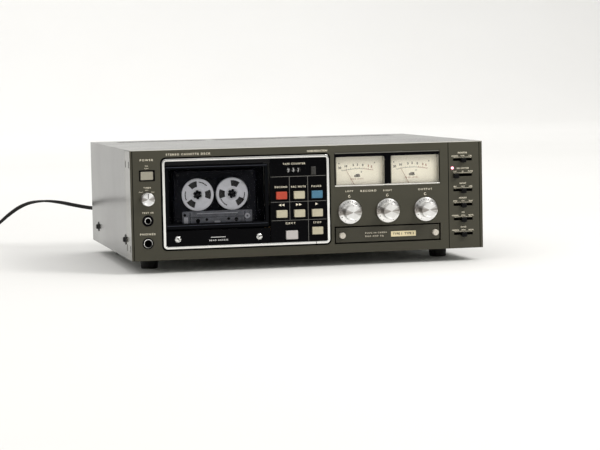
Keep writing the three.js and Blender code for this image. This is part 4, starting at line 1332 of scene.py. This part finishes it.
PANEL_WORDS = (
    ("STEREO CASSETTE DECK", 70.8, 126.2, 2.3, 54), ("POWER", 20.2, 120.4, 2.2, 16),
    ("ON", 20.0, 113.4, 1.2, 3.4), ("OFF", 20.0, 110.4, 1.2, 4.6), ("TIMER", 20.3, 87.4, 1.7, 9),
    ("OUT", 19.8, 84.6, 1.0, 3.6),
    ("PLAY", 12.6, 82.4, 1.1, 4.6), ("REC", 27.0, 82.2, 1.1, 3.8), ("TEST IN", 20.2, 57.4, 2.0, 13.6),
    ("PHONES", 19.6, 31.8, 2.3, 18.5), ("LEFT", 269.4, 75.2, 1.8, 9.6), ("RECORD", 293.6, 75.0, 2.2, 20),
    ("RIGHT", 317.9, 74.8, 1.8, 11), ("OUTPUT", 366.0, 74.7, 2.2, 18))


def add_panel_print():
    """The words on the panel, and a small open ring over each level knob."""
    bm = bmesh.new()
    write_all(bm, PANEL_WORDS, -PRINT)
    for node in KNOB_NODES:
        pierced_disc(bm, centre(node).x, 69.0, [1.0, 1.6], (-PRINT - 0.03, -PRINT + 0.05), 0, (20,), 30, 10)
    add_piece("panel_print", bm, CREAM_PRINT, "key_cream")
    bm = bmesh.new()
    write(bm, "NOISE REDUCTION", 229.8, 125.7, 2.1, -PRINT, width=25)
    add_piece("noise_sign", bm, CREAM_PRINT, "key_cream")


# ---------------- rear and inside

REAR_SCREWS = [(8, 8), (8, 124), (220, 124), (432, 124), (432, 8), (220, 8), (150, 124), (290, 124),
               (340, 97), (384, 52), (160, 20)]
REAR_WORDS = (("LINE OUT", 362, 95.5, 3.0), ("LINE IN", 362, 53, 3.0), ("L", 380.5, 84, 2.6),
              ("R", 380.5, 64, 2.6), ("REMOTE", 300, 88, 3.0), ("AC INPUT", 100, 48, 3.0))
PAN_SCREWS = ((12, 60), (12, 330), (428, 60), (428, 330), (220, 20), (220, 340), (120, 160), (320, 160))


def add_rear():
    """Line jacks with nickel rings, the remote socket, screws and printed words on the rear panel."""
    tip, back = extent("line_jack_block")[1].y, DEPTH
    refined("line_jack_block", SATIN, 0.2)
    profile = [[1.9, tip - 0.2], [2.5, tip + 0.15], [3.9, tip + 0.1], [4.35, tip - 0.3], [4.35, back + 0.6],
               [5.9, back + 0.5], [5.9, back + 0.05], [4.3, back + 0.02], [4.25, tip - 0.5], [1.9, tip - 0.5],
               [1.9, tip - 0.2]]
    rings = drawn(turned, *[(profile, x, z, 48) for x in (352, 372) for z in (64, 84)])
    add_piece("line_jack_rings", rings, BRASS, "bright_trim")
    x, z = 300, 74
    profile = [[0, 0.4], [6.2, 0.4], [6.2, 1.6], [8.0, 1.6], [8.4, 1.2], [8.4, 0], [0, 0]]
    add_piece("remote_socket", drawn(turned, (profile, x, z, 56, back)), SATIN)
    angles = [math.radians(180 + 45 * i) for i in range(5)]
    contacts = [(tube(0, 0.7, 0.9, 0.4), x + 3.6 * math.cos(a), z + 3.6 * math.sin(a), 16, back)
                for a in angles]
    add_piece("remote_socket_contacts", drawn(turned, *contacts), BRASS, "bright_trim")
    profile = [[0, 1.7], [1.6, 1.6], [2.6, 1.0], [2.9, 0.3], [2.9, 0], [0, 0]]
    add_piece("rear_screws", drawn(turned, *[(profile, x, z, 32, back) for x, z in REAR_SCREWS]), STEEL,
              "polished_steel")
    slots = [(x, z, back + 1.55, 2.6, 0.6, turn) for x, z in REAR_SCREWS for turn in (45, -45)]
    add_piece("rear_screw_slots", drawn(screw_slot, *slots), GROOVE_BLACK_AND_SHADE)
    words = bmesh.new()
    for text, x, z, height in REAR_WORDS:
        part = bmesh.new()
        write(part, text, 0, 0, height, 0)
        join_into(words, part, Matrix.Translation((x, back + 0.05, z)) @ Matrix.Rotation(math.pi, 4, "Z"))
    add_piece("rear_print", words, INK)
    plate = (180, 250), (back, back + 0.35), (40, 76), 1.5, 0.05
    add_piece("rating_plate", drawn(bar, plate), SILVER_PLATE, "plated_sheet")


def add_upright(bm, profile, x, y, count):
    """A solid of revolution that stands up, from [radius, z] steps."""
    join_into(bm, drawn(turned, (profile, 0, 0, count)), swapped("xzy", x, y))


def add_underside():
    """Screws round the pan and a row of cooling slots."""
    profile = [[0, -1.5], [1.5, -1.4], [2.6, -0.9], [2.9, -0.2], [2.9, 0], [0, 0]]
    heads = drawn(add_upright, *[(profile, x, y, 28) for x, y in PAN_SCREWS])
    add_piece("pan_screws", heads, STEEL, "polished_steel")
    slots = [(around(150 + i * 8.2, 1.1), around(230, 24), (-0.06, 0.3)) for i in range(18)]
    add_piece("pan_slots", drawn(box, *slots), GROOVE_BLACK_AND_SHADE)


def add_mechanism():
    refined("capstan_flywheel", STEEL, 0.3)
    refined("head_carriage", STEEL, 0.25)
    x, z, low, high = across("pinch_roller")
    radius = (high.x - low.x) / 2
    profile = [[1.25, low.y], [radius - 0.4, low.y], [radius, low.y + 0.4], [radius, high.y - 0.4],
               [radius - 0.4, high.y], [1.25, high.y], [1.25, low.y]]
    stand_for("pinch_roller", drawn(turned, (profile, x, z, 56)), RUBBER)
    for _, spindle, _ in HUBS:
        add_spindle(spindle)


def add_transformer():
    low, high = extent("transformer")
    y = (low.y + high.y) / 2
    core = (low.x, high.x), (y - 26, y + 26), (low.z, high.z)
    stand_for("transformer", drawn(box, core), CORE, bevel=0.6)
    windings = [(inset((low.x, high.x), 8), (low.y, low.y + 10.2), (10, 52), 3, 1.5),
                (inset((low.x, high.x), 8), (high.y - 10.2, high.y), (10, 52), 3, 0.2)]
    add_piece("transformer_windings", drawn(bar, *windings), WINDING, "board_resin")
    bolts = [(tube(0, 3.2, -28.4, -26), px, pz, 6, y)
             for px in (low.x + 5, high.x - 5) for pz in (low.z + 5, high.z - 5)]
    add_piece("transformer_bolts", drawn(turned, *bolts), STEEL, "polished_steel")


def add_board():
    """The circuit board with cans, capacitors and a finned heat sink."""
    refined("main_board", RESIN, 0.15)
    cans, caps = bmesh.new(), bmesh.new()
    for i in range(5):
        bar(cans, around(230 + i * 38, 6.2), (153.8, 166.2), (13.4, 26.4), 0.6, 0.4)
        small = [[0, 13.8], [5.2, 13.8], [5.2, 27.6], [4.7, 28.3], [0, 28.3]]
        add_upright(caps, small, 248 + i * 36, 220, 40)
    large = [[0, 13.8], [9.2, 13.8], [9.2, 41.4], [8.5, 42.3], [0, 42.3]]
    for x in (208, 232):
        add_upright(caps, large, x, 306, 48)
    add_piece("board_cans", cans, ZINC, "plated_sheet")
    add_piece("board_capacitors", caps, CAP_BLUE)
    fins = [(around(260 + i * 7, 0.8), (316, 324), (14, 40)) for i in range(9)]
    add_piece("heat_sink_fins", drawn(box, *fins), SATIN)


add_casing()
for end in ("front", "rear"):
    for side in ("left", "right"):
        add_foot(f"foot_{end}_{side}")
add_side_screws()
add_cheek_slots()
add_bay_ring()
add_bay_brow()
add_key_panel()
for key in ("record", "mute", "pause", "rewind", "fast_forward", "play", "stop", "eject"):
    special = {"record": RED_KEY, "pause": BLUE_KEY, "eject": SILVER_KEY}
    add_key(key + "_key", special.get(key, CREAM_KEY))
add_counter()
add_head_cover()
add_door()
add_cassette()
for reel, _, windows in HUBS:
    add_reel(reel, windows)
add_mechanism()
add_meter_frame()
for side in ("left", "right"):
    add_dial(side)
    add_needle(side)
for knob in KNOB_NODES:
    add_level_knob(knob)
add_timer_knob()
add_power_button()
add_jack("test_jack", 2.4, 4.0, 12)
add_jack("phones_jack", 3.3, 5.3, 26)
add_lamp()
add_switches()
add_access_cover()
add_panel_print()
add_rear()
add_underside()
add_transformer()
add_board()
